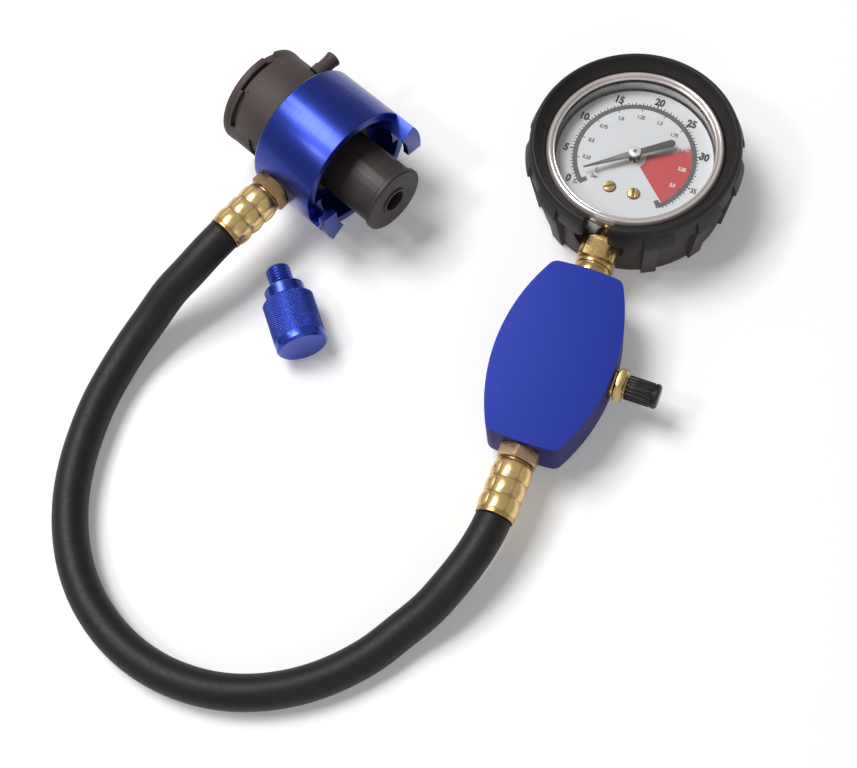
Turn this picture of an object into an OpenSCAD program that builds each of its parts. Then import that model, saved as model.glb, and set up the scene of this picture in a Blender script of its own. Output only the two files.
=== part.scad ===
// Radiator pressure tester: gauge in a rubber boot, manifold block with an air valve, hose, and a
// bayonet adapter head that lies on its side. The loose test plug lies beside it.
// Millimetres. The origin is the centre of the boot's foot, +Z is up and +Y runs from the block to
// the gauge.

/* [Gauge] */
// Outer radius of the rolled bezel
bezel_r = 34.5; // [33.5:0.1:35.5]
// Height of the bezel's front above the table
bezel_top = 32.9; // [32.6:0.1:33.6]
// How far the bezel stands out beyond the drawn case
bezel_roll = 2; // [1.8:0.1:2.2]
// Wall of the drawn case
case_wall = 1.2; // [0.8:0.1:1.6]
// Height of the dial's underside
dial_z = 22.3; // [22.3:0.1:22.9]
// Gap between the dial's edge and the case
dial_gap = 0.7; // [0.3:0.1:2]
// Thickness of the dial
dial_t = 0.8; // [0.5:0.1:1]
// Thickness of the lens
lens_t = 1.6; // [1:0.1:1.7]
// Length of the pointer from its hub to its tip
pointer_len = 21; // [17:0.5:24]
// Length of the pointer's tail
tail_len = 16.4; // [12:0.2:19]
// Angle of the pointer at zero pressure
zero_angle = 216; // [205:1:225]

/* [Boot] */
// Thickness of the boot's wall at its foot
foot_wall = 4.8; // [3.5:0.1:6]
// Thickness of the boot's rim round the bezel
rim_wall = 6.5; // [5.5:0.1:8]
// Height of the boot's rim
rim_top = 36.4; // [35:0.1:38]
// Thickness of the boot's floor
boot_floor = 3; // [2:0.1:3.5]
// Width of one grip rib
rib_w = 5.8; // [4:0.2:8]
// Sweep of the raised block above each rib, in degrees
block_sweep = 16.5; // [13:0.5:20]
// Number of rib places around the boot, one of which is the stem's opening
rib_places = 12; // [10:1:14]
// Radius of the opening for the stem
stem_hole_r = 10.5; // [9.8:0.1:12]
// Half the width of the slot above the stem
notch_half = 5.2; // [4:0.1:7]

/* [Stem] */
// Height of the stem's, the block's and the valve's axis
stem_z = 17.5; // [17:0.1:17.6]
// Radius of the stem's neck
neck_r = 4.25; // [3.5:0.05:4.5]
// Width across the stem's flats
stem_flats = 14; // [12:0.1:16]
// Radius of the stem's collar
collar_r = 7.25; // [6.5:0.05:8]
// Radius of the pipe threads
thread_r = 5; // [4.5:0.05:5.5]

/* [Movement] */
// Distance from the case's wall to the middle of the Bourdon tube
tube_gap = 7.3; // [7:0.1:7.5]
// Height of the Bourdon tube's flat section
tube_h = 9; // [7:0.1:9.4]
// Thickness of the Bourdon tube's flat section
tube_w = 3; // [2.4:0.1:3.1]
// Thickness of a movement plate
plate_t = 1.2; // [0.8:0.1:1.3]

/* [Manifold block] */
// Length of the block
block_len = 74.6; // [65:0.5:85]
// Half the width of the block's ends
block_end = 13.2; // [12:0.1:16]
// Half the width of the block's middle
block_mid = 22.8; // [20:0.1:25]
// Thickness of the block
block_t = 19.4; // [17:0.1:20]
// Radius of the bow across each end of the block
end_bow_r = 110; // [90:5:200]
// Radius of the block's corners
block_corner = 4; // [2:0.5:6]
// Radius of the air passage in the block
passage_r = 3; // [2:0.1:3.5]

/* [Air valve] */
// Width across the valve's hex
valve_hex = 12; // [10:0.5:14]
// Radius of the valve's cap thread
cap_thread_r = 3.87; // [3.7:0.01:4]
// Radius of the dust cap over its ribs
cap_r = 4.8; // [4.7:0.05:5.5]
// Length of the dust cap
cap_len = 12.7; // [12:0.1:15]
// Travel of the valve's pin
pin_travel = 1.2; // [0.8:0.1:1.5]

/* [Hose and fittings] */
// Outer radius of the hose
hose_r = 6.84; // [6.5:0.02:7]
// Width across the fitting's hex
fitting_hex = 14.3; // [13:0.1:15]
// Length of a fitting's hex
fitting_hex_len = 5.4; // [4:0.1:7]
// Length of a crimped ferrule
ferrule_len = 22; // [20:0.1:24]
// Radius of the ferrule over its bulges
ferrule_r = 7.9; // [7.6:0.05:8.3]
// Radius of the fitting's barb
barb_r = 4; // [3.5:0.05:4.5]
// Radius of the fitting's bore
fitting_bore = 2.2; // [1.5:0.1:2.6]

/* [Adapter head] */
// Radius of the blue body
head_r = 27; // [26:0.1:28]
// Length of the blue body
head_len = 30.4; // [28:0.1:33]
// Inner radius of the front cup
cup_r = 23.3; // [22:0.1:24]
// Depth of the front cup
cup_depth = 13; // [10:0.5:15]
// Length of the bayonet lugs
lug_len = 8.8; // [8:0.1:10]
// Outer radius of the filler neck
neck_out_r = 20.9; // [19:0.1:22]
// Length of the filler neck
neck_len = 23.7; // [23:0.1:26]
// Wall of the filler neck
neck_wall = 3; // [2.4:0.1:3.4]
// Radius of the seal stem
seal_r = 13.06; // [12:0.02:14]
// Distance of the stem's tip from the back of the blue body
tip_t = 50.8; // [48:0.1:54]
// Radius of the stem's tip flange
tip_r = 14; // [13.6:0.1:15]
// Radius of the hole in the stem's tip
tip_hole_r = 4.47; // [3.5:0.01:5]
// Outer radius of the overflow nipple
nipple_r = 3; // [2.5:0.1:3.2]

/* [Test plug] */
// Radius of the plug's knurled grip
grip_r = 10.3; // [9:0.1:12]
// Length of the plug's grip
grip_len = 21.3; // [18:0.1:25]
// Radius of the plug's collar
plug_collar_r = 8; // [6.5:0.1:8.6]
// Length of the plug's collar
plug_collar_len = 6.1; // [4:0.1:8]
// Radius of the plug's thread
plug_thread_r = 4.9; // [4:0.05:5.5]
// Length of the plug's thread
plug_thread_len = 9.3; // [7:0.1:12]

/* [Hidden] */
$fn = 96;

// Clearances
fit_gap = 0.1;
run_gap = 0.05;
free_gap = 0.3;
eps = 0.01;

// Gauge radii and heights, from the boot's floor up
case_r = bezel_r - bezel_roll;
foot_r = case_r + foot_wall;
rim_r = bezel_r + rim_wall;
case_floor = boot_floor + case_wall;
lens_z = bezel_top - 3.3;
gasket_t = 1;
gasket_z = lens_z - gasket_t;
dial_top = dial_z + dial_t;
lens_edge_r = case_r - fit_gap;
case_in = case_r - case_wall;
dial_r = case_in - dial_gap;
bezel_lip = 1.6;
lip_r = case_r - bezel_lip;
bezel_skirt = 4.6;
pointer_z = dial_top + 3.3;
pointer_t = 0.4;
hub_r = 2.6;
boot_in = case_r + 0.15;
rim_in = bezel_r + 0.2;
rib_turn = -92;
rib_out = 1.6;
notch_turn = -93;

// Movement: gears, heights and the linkage's pivots in plan. Its plan was drawn round a tube of
// 24 mm radius and follows the tube by the share plan.
tube_r = case_in - tube_gap;
plan = tube_r / 24;
pinion_teeth = 12;
gear_ratio = 8;
gear_module = 0.25 * plan;
sector_teeth = pinion_teeth * gear_ratio;
tooth_half = plan * [0.21, 0.15, 0.07];
plate_z = 12;
front_plate_z = 18.8;
pinion_r = gear_module * pinion_teeth / 2;
sector_r = pinion_r * gear_ratio;
pivot_dist = pinion_r + sector_r;
pivot_turn = 181;
sector_pivot = pivot_dist * [cos(pivot_turn), sin(pivot_turn)];
tail_arm = 5 * plan;
tail_turn = 154;
link_pin = sector_pivot + tail_arm * [cos(tail_turn), sin(tail_turn)];
link_len = 8.5 * plan;
link_turn = 244;
tip_pin = link_pin + link_len * [cos(link_turn), sin(link_turn)];
tip_pin_turn = atan2(tip_pin[1], tip_pin[0]) + 360;
arbor_r = 0.9;
sector_arbor_r = 1;
hand_arbor_r = 0.7;
hairspring_z = 17.2;
hairspring_h = 0.8;
hairspring_w = 0.22;
hairspring_turns = 4;
hairspring_in = 2.45 * plan;
hairspring_out = 6.75 * plan;
hairspring_end = 47.5;
collet_r = 2 * plan;
link_play = 0.45;
tenon_r = 0.8;
plate_screw_r = 0.9;
sector_z = 14.6;
sector_t = 1.2;
link_z = sector_z + sector_t + 0.2;
link_t = 0.8;
link_pin_r = 0.75;
tip_pin_r = 0.7;
tube_z = 15;
tube_wall = 0.5;
tube_from = -75;
tube_to = 185;
tip_to = tip_pin_turn + 4.5;
pillar_r = 1.1;
pillars = plan * [[7, -5.5], [5.5, 6], [-15.4, -5.4]];
screw_places = plan * [[-3, -9.5], [3, -9.5]];
dial_screw_places = plan * [[-4.9, -15.3], [4.9, -15.3]];
dial_screw_r = 1.05;

// Socket
block_x = 9 * plan;
socket_back = -27 * plan;
socket_front = -12 * plan;
ledge_front = -5 * plan;
ledge_x = 6.5 * plan;
neck_to = -case_r - 4.5;
flats_to = -46;
collar_to = -53.2;
stem_thread_to = -63;

// Block
block_y0 = collar_to - block_len;
block_y = (collar_to + block_y0) / 2;
half_len = block_len / 2;
bow = block_mid - block_end;
side_r = (half_len * half_len + bow * bow) / (2 * bow);
side_x = side_r - block_mid;
face_depth = 0.25;
spot_r = 8.8;
fitting_thread = 9;

// Air valve, distances along +X
valve_face = block_mid - 0.3;
valve_ring_t = 1.9;
valve_hex_t = 3.2;
valve_hex_to = valve_face + valve_ring_t + valve_hex_t;
barrel_to = valve_hex_to + 10;
valve_thread_r = 4.6;
valve_in = 10.6;
valve_spot_r = 6.6;
core_r = 2.5;
core_from = valve_hex_to - 0.6;
core_to = barrel_to - 1;
cap_from = valve_hex_to + 0.6;

// Adapter head: back centre of the blue body and the direction of its axis
head_place = [-128.15, -31.37, head_r];
head_turn = -21.72;
cup_floor = head_len - cup_depth;
port_t = 11;
port_face = head_r - 0.9;
port_spot_r = 8.5;
lug_in = 20;
lug_slot = 6;
spigot_r = 18.6;
spigot_len = 4;
bush_r = 5.8;
bush_len = 6;
oring_places = [7.4, 14.4];
oring_w = 1.6;
oring_h = 1.1;
relief = 1.4;
stem_hole = seal_r + fit_gap;
seal_from = 5;
flange_t = 1.9;
neck_seat_t = 3;
neck_seat_r = 14;
nipple_t = -7.6;
nipple_up = 10;
nipple_from = neck_out_r - 3.7;
nipple_to = neck_out_r + 6.6;
nipple_root_r = nipple_r + 0.4;
nipple_root_to = neck_out_r - 0.3;

// Test plug: end face centre on the table and the turn of its axis
plug_place = [-95.1, -113.9, grip_r];
plug_turn = 129.6;

// Hose: points along its middle, from the block's ferrule to the head's
hose_route = [
    [0, -155.8, 17.5], [-0.7, -163, 17.2], [-2.6, -172.3, 16.3], [-6.2, -183.2, 14.4],
    [-11.2, -194.3, 11.1], [-17.8, -204.7, 8.3], [-24.3, -215.1, 7.2], [-32, -224.5, 7],
    [-40.8, -232.7, 7], [-50.6, -239.4, 7], [-61.4, -244.6, 7], [-73, -248, 7],
    [-85.2, -249.3, 7], [-97.6, -248.5, 7], [-109.9, -245.4, 7], [-121.6, -240, 7],
    [-132.4, -232.5, 7], [-141.7, -223, 7], [-149.3, -211.9, 7], [-155, -199.8, 7],
    [-158.8, -187.1, 7], [-161, -174, 7], [-162, -160.7, 7], [-161.3, -147.5, 7.5],
    [-159, -135.1, 9.7], [-155.3, -123.4, 13.5], [-151, -112.9, 18.9], [-145.6, -103.2, 23.4],
    [-141.4, -94, 26.1], [-138.1, -85.9, 27]
];
hose_sides = 12;

function unit(v) = v / norm(v);

// ---- shared shapes ----

// A solid of revolution about the Y axis at the stem's height; the profile is [radius, y].
module about_stem(profile) {
    translate([0, 0, stem_z]) rotate([-90, 0, 0])
        rotate_extrude() polygon(profile);
}

// A solid of revolution about the valve's axis; the profile is [radius, x].
module about_valve(profile) {
    translate([0, block_y, stem_z]) rotate([0, 90, 0])
        rotate_extrude() polygon(profile);
}

// Children are drawn with +Z along the head's axis, 0 at the back of the blue body.
// A turn of -90 - a about that axis faces angle a, counted from the hose's side upwards.
module on_head() {
    translate(head_place) rotate([0, 0, head_turn]) rotate([0, 90, 0]) children();
}

// Children are drawn with +Z leaving the head's side at the hose's port.
module on_port() {
    translate(head_place) rotate([0, 0, head_turn]) translate([port_t, 0, 0]) rotate([90, 0, 0])
        children();
}

// Children are drawn with +Z along the block's hose port, 0 at the block's end.
module on_block_port() {
    translate([0, block_y0, stem_z]) rotate([90, 0, 0]) children();
}

module ring(outer, inner, height) {
    difference() {
        cylinder(r = outer, h = height);
        translate([0, 0, -1]) cylinder(r = inner, h = height + 2);
    }
}

// ---- gauge ----

// Each rib carries a wider block at the rim's height. The block starts at the rib's side that faces
// the stem (away = 1 or -1 gives the way it goes from there) or is centred on the rib (away = 0).
module boot_rib(turn, away) {
    from = -block_sweep / 2 + away * (block_sweep / 2 - asin(rib_w / 2 / foot_r));
    rotate([0, 0, turn]) rotate([90, 0, 0])
        linear_extrude(rib_w, center = true)
            polygon([
                [foot_r - 1.5, 0], [foot_r + 1.1, 0], [rim_r + 0.7, rim_top - 10.9],
                [rim_r + 0.7, rim_top - 9], [foot_r - 1.5, rim_top - 9]
            ]);
    rotate([0, 0, turn + from]) rotate_extrude(angle = block_sweep)
        polygon([
            [rim_r - 2, rim_top - 10.7], [rim_r + rib_out, rim_top - 10.7],
            [rim_r + rib_out, rim_top - 3.4], [rim_r + rib_out - 0.7, rim_top - 2.4],
            [rim_r - 2, rim_top - 2.4]
        ]);
}

module rubber_boot() {
    color("#1d1a19") difference() {
        union() {
            rotate_extrude() polygon([
                [0, 0], [foot_r - 0.8, 0], [foot_r, 0.8], [foot_r + 0.4, rim_top - 14],
                [rim_r - 0.6, rim_top - 12.4], [rim_r, rim_top - 11], [rim_r, rim_top - 3],
                [rim_r - 0.6, rim_top - 1], [rim_r - 1.4, rim_top - 0.2], [rim_r - 2, rim_top],
                [rim_r - 2.5, rim_top - 0.3], [rim_r - 3.4, rim_top - 2.2],
                [rim_in + 0.8, rim_top - 4.2], [rim_in, rim_top - 5], [rim_in, lens_z - 5],
                [boot_in, lens_z - 5], [boot_in, boot_floor], [0, boot_floor]
            ]);
            for (i = [1:rib_places - 1])
                boot_rib(rib_turn + i * 360 / rib_places, sign(rib_places / 2 - i));
        }
        rotate([0, 0, notch_turn + 90]) {
            translate([0, 0, stem_z]) rotate([90, 0, 0]) cylinder(r = stem_hole_r, h = rim_r + 5);
            translate([-notch_half, -rim_r - 5, stem_z])
                cube([2 * notch_half, rim_r + 5 - boot_in + 3, rim_top]);
        }
    }
}

module gauge_case() {
    color("#b9b7b2") difference() {
        translate([0, 0, boot_floor]) cylinder(r = case_r, h = gasket_z - boot_floor);
        translate([0, 0, case_floor]) cylinder(r = case_in, h = gasket_z);
        translate([0, 0, stem_z]) rotate([90, 0, 0]) cylinder(r = neck_r + fit_gap, h = case_r + 5);
    }
}

module bezel_ring() {
    lens_top = lens_z + lens_t;
    color("#d8d8da") rotate_extrude() polygon([
        [case_r + fit_gap, lens_z - bezel_skirt], [bezel_r - 0.9, lens_z - bezel_skirt],
        [bezel_r - 0.5, lens_z - 3.1],
        [bezel_r - 0.1, lens_z - 1.1], [bezel_r, lens_z + 0.6], [bezel_r - 0.3, bezel_top - 1.3],
        [bezel_r - 0.9, bezel_top - 0.3], [bezel_r - 1.7, bezel_top], [bezel_r - 2.3, bezel_top - 0.3],
        [bezel_r - 2.6, bezel_top - 0.9], [bezel_r - 3.2, bezel_top - 1], [lip_r, bezel_top - 1.3],
        [lip_r, lens_top], [case_r + fit_gap, lens_top]
    ]);
}

module lens() {
    color("#dfe8ee", 0.35) translate([0, 0, lens_z]) cylinder(r = lens_edge_r, h = lens_t);
}

module lens_gasket() {
    color("#2a2a2a") translate([0, 0, gasket_z]) ring(lens_edge_r, lip_r, gasket_t);
}

module dial_plate() {
    color("#dfe1e4") difference() {
        translate([0, 0, dial_z]) cylinder(r = dial_r, h = dial_t);
        translate([0, 0, dial_z - 1]) cylinder(r = 2.2, h = dial_t + 2);
        for (p = dial_screw_places) translate([p[0], p[1], dial_z - 1])
            cylinder(r = dial_screw_r + fit_gap, h = dial_t + 2);
    }
}

module slotted_screw(head_radius, head_height, shank_radius, shank_length) {
    difference() {
        union() {
            cylinder(r = head_radius, h = head_height);
            translate([0, 0, -shank_length]) cylinder(r = shank_radius, h = shank_length + eps);
        }
        translate([-head_radius - 1, -head_radius / 6, head_height * 0.5])
            cube([2 * head_radius + 2, head_radius / 3, head_height]);
    }
}

module dial_screws() {
    color("#b98a3c") for (i = [0, 1])
        translate([dial_screw_places[i][0], dial_screw_places[i][1], dial_top])
            rotate([0, 0, 35 + 70 * i]) slotted_screw(2.3, 0.9, dial_screw_r, 5);
}

module stop_pin() {
    color("#303030") rotate([0, 0, zero_angle + 5.5]) translate([pointer_len - 5, 0, dial_top])
        cylinder(r = 0.4, h = pointer_z + pointer_t - dial_top);
}

module pointer() {
    color("#202124") {
        translate([0, 0, pointer_z]) rotate([0, 0, zero_angle]) linear_extrude(pointer_t)
            difference() {
                union() {
                    polygon([
                        [0, -1.5], [pointer_len - 0.6, -0.3], [pointer_len, 0],
                        [pointer_len - 0.6, 0.3], [0, 1.5]
                    ]);
                    polygon([
                        [0, -1.2], [1.6 - tail_len, -1.6], [1.6 - tail_len, 1.6], [0, 1.2]
                    ]);
                    translate([1.6 - tail_len, 0]) circle(1.6);
                    circle(hub_r);
                }
                circle(hand_arbor_r + run_gap / 2);
            }
        translate([0, 0, pointer_z + pointer_t]) ring(hub_r - 0.2, hand_arbor_r + run_gap / 2, 1);
    }
}

// ---- movement ----

// Teeth on an arc; half_width holds a tooth's half width at its root, pitch circle and tip.
module gear_outline(teeth, pitch_r, first, count) {
    root = pitch_r - 1.3 * gear_module;
    tip = pitch_r + 0.8 * gear_module;
    flank = [
        [root, -tooth_half[0]], [pitch_r, -tooth_half[1]], [tip, -tooth_half[2]],
        [tip, tooth_half[2]], [pitch_r, tooth_half[1]], [root, tooth_half[0]]
    ];
    polygon(concat(
        [for (i = [0:count - 1]) for (p = flank)
            let (a = first + i * 360 / teeth + p[1] / p[0] * 180 / PI) p[0] * [cos(a), sin(a)]],
        count < teeth ? [[0, 0]] : []
    ));
}

module pinion() {
    top = front_plate_z + plate_t;
    color("#c9a85a") {
        translate([0, 0, sector_z - 0.6]) linear_extrude(sector_t + 1.2)
            gear_outline(pinion_teeth, pinion_r, pivot_turn + 180 / pinion_teeth, pinion_teeth);
        translate([0, 0, plate_z - 0.3]) cylinder(r = arbor_r, h = top + 0.6 - plate_z);
        translate([0, 0, top]) cylinder(r = hand_arbor_r, h = pointer_z + 1.7 - top);
        translate([0, 0, hairspring_z - 0.2]) cylinder(r = collet_r, h = hairspring_h + 0.5);
    }
}

module sector_gear() {
    pitch = 360 / sector_teeth;
    first = pivot_turn - 180 - 11 * pitch;
    color("#c9a85a") {
        translate([0, 0, sector_z]) linear_extrude(sector_t) difference() {
            union() {
                translate(sector_pivot) gear_outline(sector_teeth, sector_r, first, 14);
                translate(sector_pivot) circle(2.6 * plan);
                translate(link_pin) circle(1.5);
                translate(sector_pivot) rotate(tail_turn) translate([0, -1.1])
                    square([tail_arm, 2.2]);
            }
            translate(sector_pivot) polygon(concat(
                [for (a = [first + 8:4:first + 40]) 0.8 * sector_r * [cos(a), sin(a)]],
                [for (a = [first + 34:-4:first + 14]) 0.38 * sector_r * [cos(a), sin(a)]]
            ));
        }
        translate([sector_pivot[0], sector_pivot[1], plate_z - 0.3])
            cylinder(r = sector_arbor_r, h = front_plate_z + plate_t + 0.6 - plate_z);
        translate([link_pin[0], link_pin[1], sector_z])
            cylinder(r = link_pin_r, h = link_z + link_t + 0.4 - sector_z);
    }
}

module sector_link() {
    color("#c9a85a") translate([0, 0, link_z]) linear_extrude(link_t) difference() {
        union() {
            translate(link_pin) circle(1.6);
            translate(tip_pin) circle(1.9);
            translate(link_pin) rotate(link_turn) translate([0, -0.9]) square([link_len, 1.8]);
        }
        translate(link_pin) circle(link_pin_r + run_gap);
        translate(tip_pin) circle(tip_pin_r + link_play);
    }
}

function coil_point(k, side) =
    let (a = hairspring_end - 360 * hairspring_turns * (1 - k))
    let (r = hairspring_in + (hairspring_out - hairspring_in) * k + side * hairspring_w / 2)
    r * [cos(a), sin(a)];

module hairspring() {
    steps = 28 * hairspring_turns;
    color("#8f949c") translate([0, 0, hairspring_z]) linear_extrude(hairspring_h)
        polygon(concat(
            [for (i = [0:steps]) coil_point(i / steps, 1)],
            [for (i = [steps:-1:0]) coil_point(i / steps, -1)]
        ));
}

module plate_outline(with_tongue) {
    difference() {
        union() {
            circle(9.7 * plan);
            translate(sector_pivot) circle(4 * plan);
            translate([sector_pivot[0], -3.5 * plan]) square([-sector_pivot[0], 7 * plan]);
            translate(pillars[2]) circle(2.4 * plan);
            if (with_tongue) translate([0.5 - ledge_x, socket_front + 0.2])
                square([2 * ledge_x - 1, -socket_front - 0.2]);
        }
        circle(arbor_r + run_gap);
        translate(sector_pivot) circle(sector_arbor_r + run_gap);
        for (p = pillars) translate(p) circle(tenon_r + run_gap);
        if (with_tongue) for (p = screw_places) translate(p) circle(plate_screw_r + fit_gap);
    }
}

module movement_plates() {
    color("#c2a050") {
        translate([0, 0, plate_z]) linear_extrude(plate_t) plate_outline(true);
        translate([0, 0, front_plate_z]) linear_extrude(plate_t) plate_outline(false);
    }
}

module movement_pillars() {
    color("#c9a85a") for (p = pillars) translate([p[0], p[1], 0]) {
        translate([0, 0, plate_z + plate_t]) cylinder(r = pillar_r, h = front_plate_z - plate_z - plate_t);
        translate([0, 0, plate_z]) cylinder(r = tenon_r, h = front_plate_z + plate_t - plate_z);
    }
}

module movement_screws() {
    color("#c2a050") for (p = screw_places) translate([p[0], p[1], plate_z + plate_t])
        slotted_screw(1.5, 1.1, plate_screw_r, plate_t + 3);
}

module stadium(width, height) {
    half = (height - width) / 2;
    translate([-width / 2, -half]) square([width, 2 * half]);
    for (s = [-1, 1]) translate([0, s * half]) circle(width / 2);
}

module tube_arc(from, to) {
    rotate([0, 0, from]) rotate_extrude(angle = to - from) translate([tube_r, tube_z]) children();
}

module bourdon_tube() {
    color("#b98a3c") tube_arc(tube_from, tube_to) difference() {
        stadium(tube_w, tube_h);
        stadium(tube_w - 2 * tube_wall, tube_h - 2 * tube_wall);
    }
}

module tube_tip() {
    inner_w = tube_w - 2 * (tube_wall + fit_gap);
    inner_h = tube_h - 2 * (tube_wall + fit_gap);
    color("#c9a85a") {
        tube_arc(tube_to - 3, tube_to + 1) stadium(inner_w, inner_h);
        tube_arc(tube_to, tube_to + 3) stadium(tube_w, tube_h);
        tube_arc(tube_to + 1, tip_to) translate([-2.8, -3]) square([3.8, link_z - 0.4 - tube_z + 3]);
        translate([tip_pin[0], tip_pin[1], tube_z - 2])
            cylinder(r = tip_pin_r, h = link_z + link_t + 0.4 - tube_z + 2);
    }
}

module gauge_socket() {
    color("#b98a3c") difference() {
        union() {
            translate([-block_x, socket_back, case_floor])
                cube([2 * block_x, socket_front - socket_back, dial_z - case_floor]);
            translate([-ledge_x, socket_front - eps, case_floor])
                cube([2 * ledge_x, ledge_front - socket_front, plate_z - case_floor]);
            about_stem([
                [0, socket_back + 1], [neck_r, socket_back + 1], [neck_r, flats_to + 1],
                [0, flats_to + 1]
            ]);
            intersection() {
                translate([-stem_flats / 2, flats_to, stem_z - stem_flats / 2])
                    cube([stem_flats, neck_to - flats_to, stem_flats]);
                about_stem([
                    [0, flats_to], [stem_flats * 0.62, flats_to], [stem_flats * 0.62, neck_to - 1.4],
                    [stem_flats * 0.5, neck_to], [0, neck_to]
                ]);
            }
            about_stem([
                [0, collar_to - face_depth], [collar_r - 0.6, collar_to - face_depth],
                [collar_r - 0.6, collar_to + 1], [collar_r, collar_to + 1.3],
                [collar_r, collar_to + 3.7], [collar_r - 0.7, collar_to + 4],
                [collar_r - 0.7, collar_to + 4.8], [collar_r, collar_to + 5.1],
                [collar_r, flats_to - 0.4], [collar_r - 0.4, flats_to], [0, flats_to]
            ]);
            about_stem([
                [0, stem_thread_to], [thread_r - 0.6, stem_thread_to],
                [thread_r, stem_thread_to + 0.8], [thread_r, collar_to], [0, collar_to]
            ]);
        }
        about_stem([
            [0, stem_thread_to - 1], [1.8, stem_thread_to - 1], [1.8, socket_back + 6],
            [0, socket_back + 6]
        ]);
        translate([0, socket_back + 4.2, stem_z]) rotate([0, 90, 0]) cylinder(r = 0.8, h = 7);
        tube_arc(tube_from - 0.8, -55) stadium(tube_w + 2 * free_gap, tube_h + 2 * free_gap);
        for (p = dial_screw_places) translate([p[0], p[1], dial_z - 6])
            cylinder(r = dial_screw_r + fit_gap, h = 7);
        for (p = screw_places) translate([p[0], p[1], plate_z - 4])
            cylinder(r = plate_screw_r + fit_gap, h = 5);
    }
}

// ---- manifold block ----

// Where the circles of radius side_to and end_to about the side's and the end's centres meet.
function meet(side_to, end_to, end_y) =
    let (d = norm([side_x, end_y]))
    let (along = (side_to * side_to - end_to * end_to + d * d) / (2 * d))
    let (across = sqrt(side_to * side_to - along * along))
    let (u = [side_x, end_y] / d)
    [-side_x, 0] + along * u + across * [-u[1], u[0]];

module block_outline() {
    end_y = half_len - end_bow_r;
    corner = meet(side_r - block_corner, end_bow_r - block_corner, end_y);
    side_touch = [-side_x, 0] + side_r * unit(corner + [side_x, 0]);
    end_touch = [0, end_y] + end_bow_r * unit(corner - [0, end_y]);
    difference() {
        intersection() {
            translate([-side_x, 0]) circle(side_r, $fn = 360);
            translate([side_x, 0]) circle(side_r, $fn = 360);
            translate([0, end_y]) circle(end_bow_r, $fn = 360);
            translate([0, -end_y]) circle(end_bow_r, $fn = 360);
        }
        for (mx = [0, 1]) for (my = [0, 1]) mirror([mx, 0]) mirror([0, my]) difference() {
            polygon([corner, side_touch, [block_mid, half_len + 1], end_touch]);
            translate(corner) circle(block_corner);
        }
    }
}

module manifold_block() {
    color("#2433b4") difference() {
        translate([0, block_y, stem_z - block_t / 2]) linear_extrude(block_t) block_outline();
        about_stem([
            [0, block_y0 - 5], [passage_r, block_y0 - 5], [passage_r, collar_to + 5],
            [0, collar_to + 5]
        ]);
        about_stem([
            [0, stem_thread_to - 1], [thread_r + fit_gap, stem_thread_to - 1],
            [thread_r + fit_gap, collar_to - face_depth], [spot_r, collar_to - face_depth],
            [spot_r, collar_to + 5], [0, collar_to + 5]
        ]);
        about_stem([
            [0, block_y0 - 5], [spot_r, block_y0 - 5], [spot_r, block_y0 + face_depth],
            [thread_r + fit_gap, block_y0 + face_depth],
            [thread_r + fit_gap, block_y0 + fitting_thread + 1], [0, block_y0 + fitting_thread + 1]
        ]);
        about_valve([
            [0, 0], [passage_r - 1, 0], [passage_r - 1, valve_face - valve_in - 1],
            [valve_thread_r + fit_gap, valve_face - valve_in - 1],
            [valve_thread_r + fit_gap, valve_face], [valve_spot_r, valve_face],
            [valve_spot_r, block_mid + 5], [0, block_mid + 5]
        ]);
    }
}

// ---- air valve ----

module valve_body() {
    ring_to = valve_face + valve_ring_t;
    chamber = core_from - 6.5;
    color("#b98a3c") {
        difference() {
            union() {
                about_valve([
                    [0, valve_face - valve_in], [valve_thread_r - 0.5, valve_face - valve_in],
                    [valve_thread_r, valve_face - valve_in + 0.6], [valve_thread_r, valve_face],
                    [5.3, valve_face], [5.3, ring_to - 0.5], [4.9, ring_to], [4.9, valve_hex_to],
                    [cap_thread_r - 0.4, valve_hex_to], [cap_thread_r - 0.4, valve_hex_to + 0.9],
                    [cap_thread_r, valve_hex_to + 1.2], [cap_thread_r, barrel_to - 0.4],
                    [cap_thread_r - 0.4, barrel_to], [0, barrel_to]
                ]);
                intersection() {
                    translate([ring_to, block_y, stem_z]) rotate([0, 90, 0]) rotate([0, 0, 30])
                        cylinder(r = valve_hex / 2 / cos(30), h = valve_hex_t, $fn = 6);
                    about_valve([
                        [0, ring_to], [valve_hex / 2, ring_to], [valve_hex / 2 + 1, ring_to + 0.6],
                        [valve_hex / 2 + 1, valve_hex_to - 0.6], [valve_hex / 2, valve_hex_to],
                        [0, valve_hex_to]
                    ]);
                }
            }
            about_valve([
                [0, valve_face - valve_in - 1], [1.6, valve_face - valve_in - 1], [1.6, chamber],
                [core_r + fit_gap, chamber], [core_r + fit_gap, barrel_to + 1], [0, barrel_to + 1]
            ]);
        }
    }
}

module valve_core() {
    color("#c9a85a") about_valve([
        [0.85, core_from], [core_r - 0.3, core_from], [core_r, core_from + 0.5],
        [core_r, core_from + 3], [core_r - 0.5, core_from + 3.6], [core_r - 0.5, core_to - 3],
        [core_r, core_to - 2.6], [core_r, core_to], [0.85, core_to]
    ]);
}

module valve_pin() {
    poppet = core_from - free_gap;
    color("#8f949c") about_valve([
        [0, poppet - 1.2], [1.5, poppet - 1.2], [1.5, poppet - 0.4], [0.6, poppet],
        [0.6, barrel_to - 0.7], [0.4, barrel_to - 0.4], [0, barrel_to - 0.4]
    ]);
}

// A round wire wound about +Z: points on ring i of steps, on a helix of radius big.
function wire_ring(i, per_turn, big, wire, pitch) =
    let (a = i * 360 / per_turn)
    [for (j = [0:5]) let (b = j * 60) [
        (big + wire * cos(b)) * cos(a), (big + wire * cos(b)) * sin(a),
        pitch * i / per_turn + wire * sin(b)
    ]];

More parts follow.
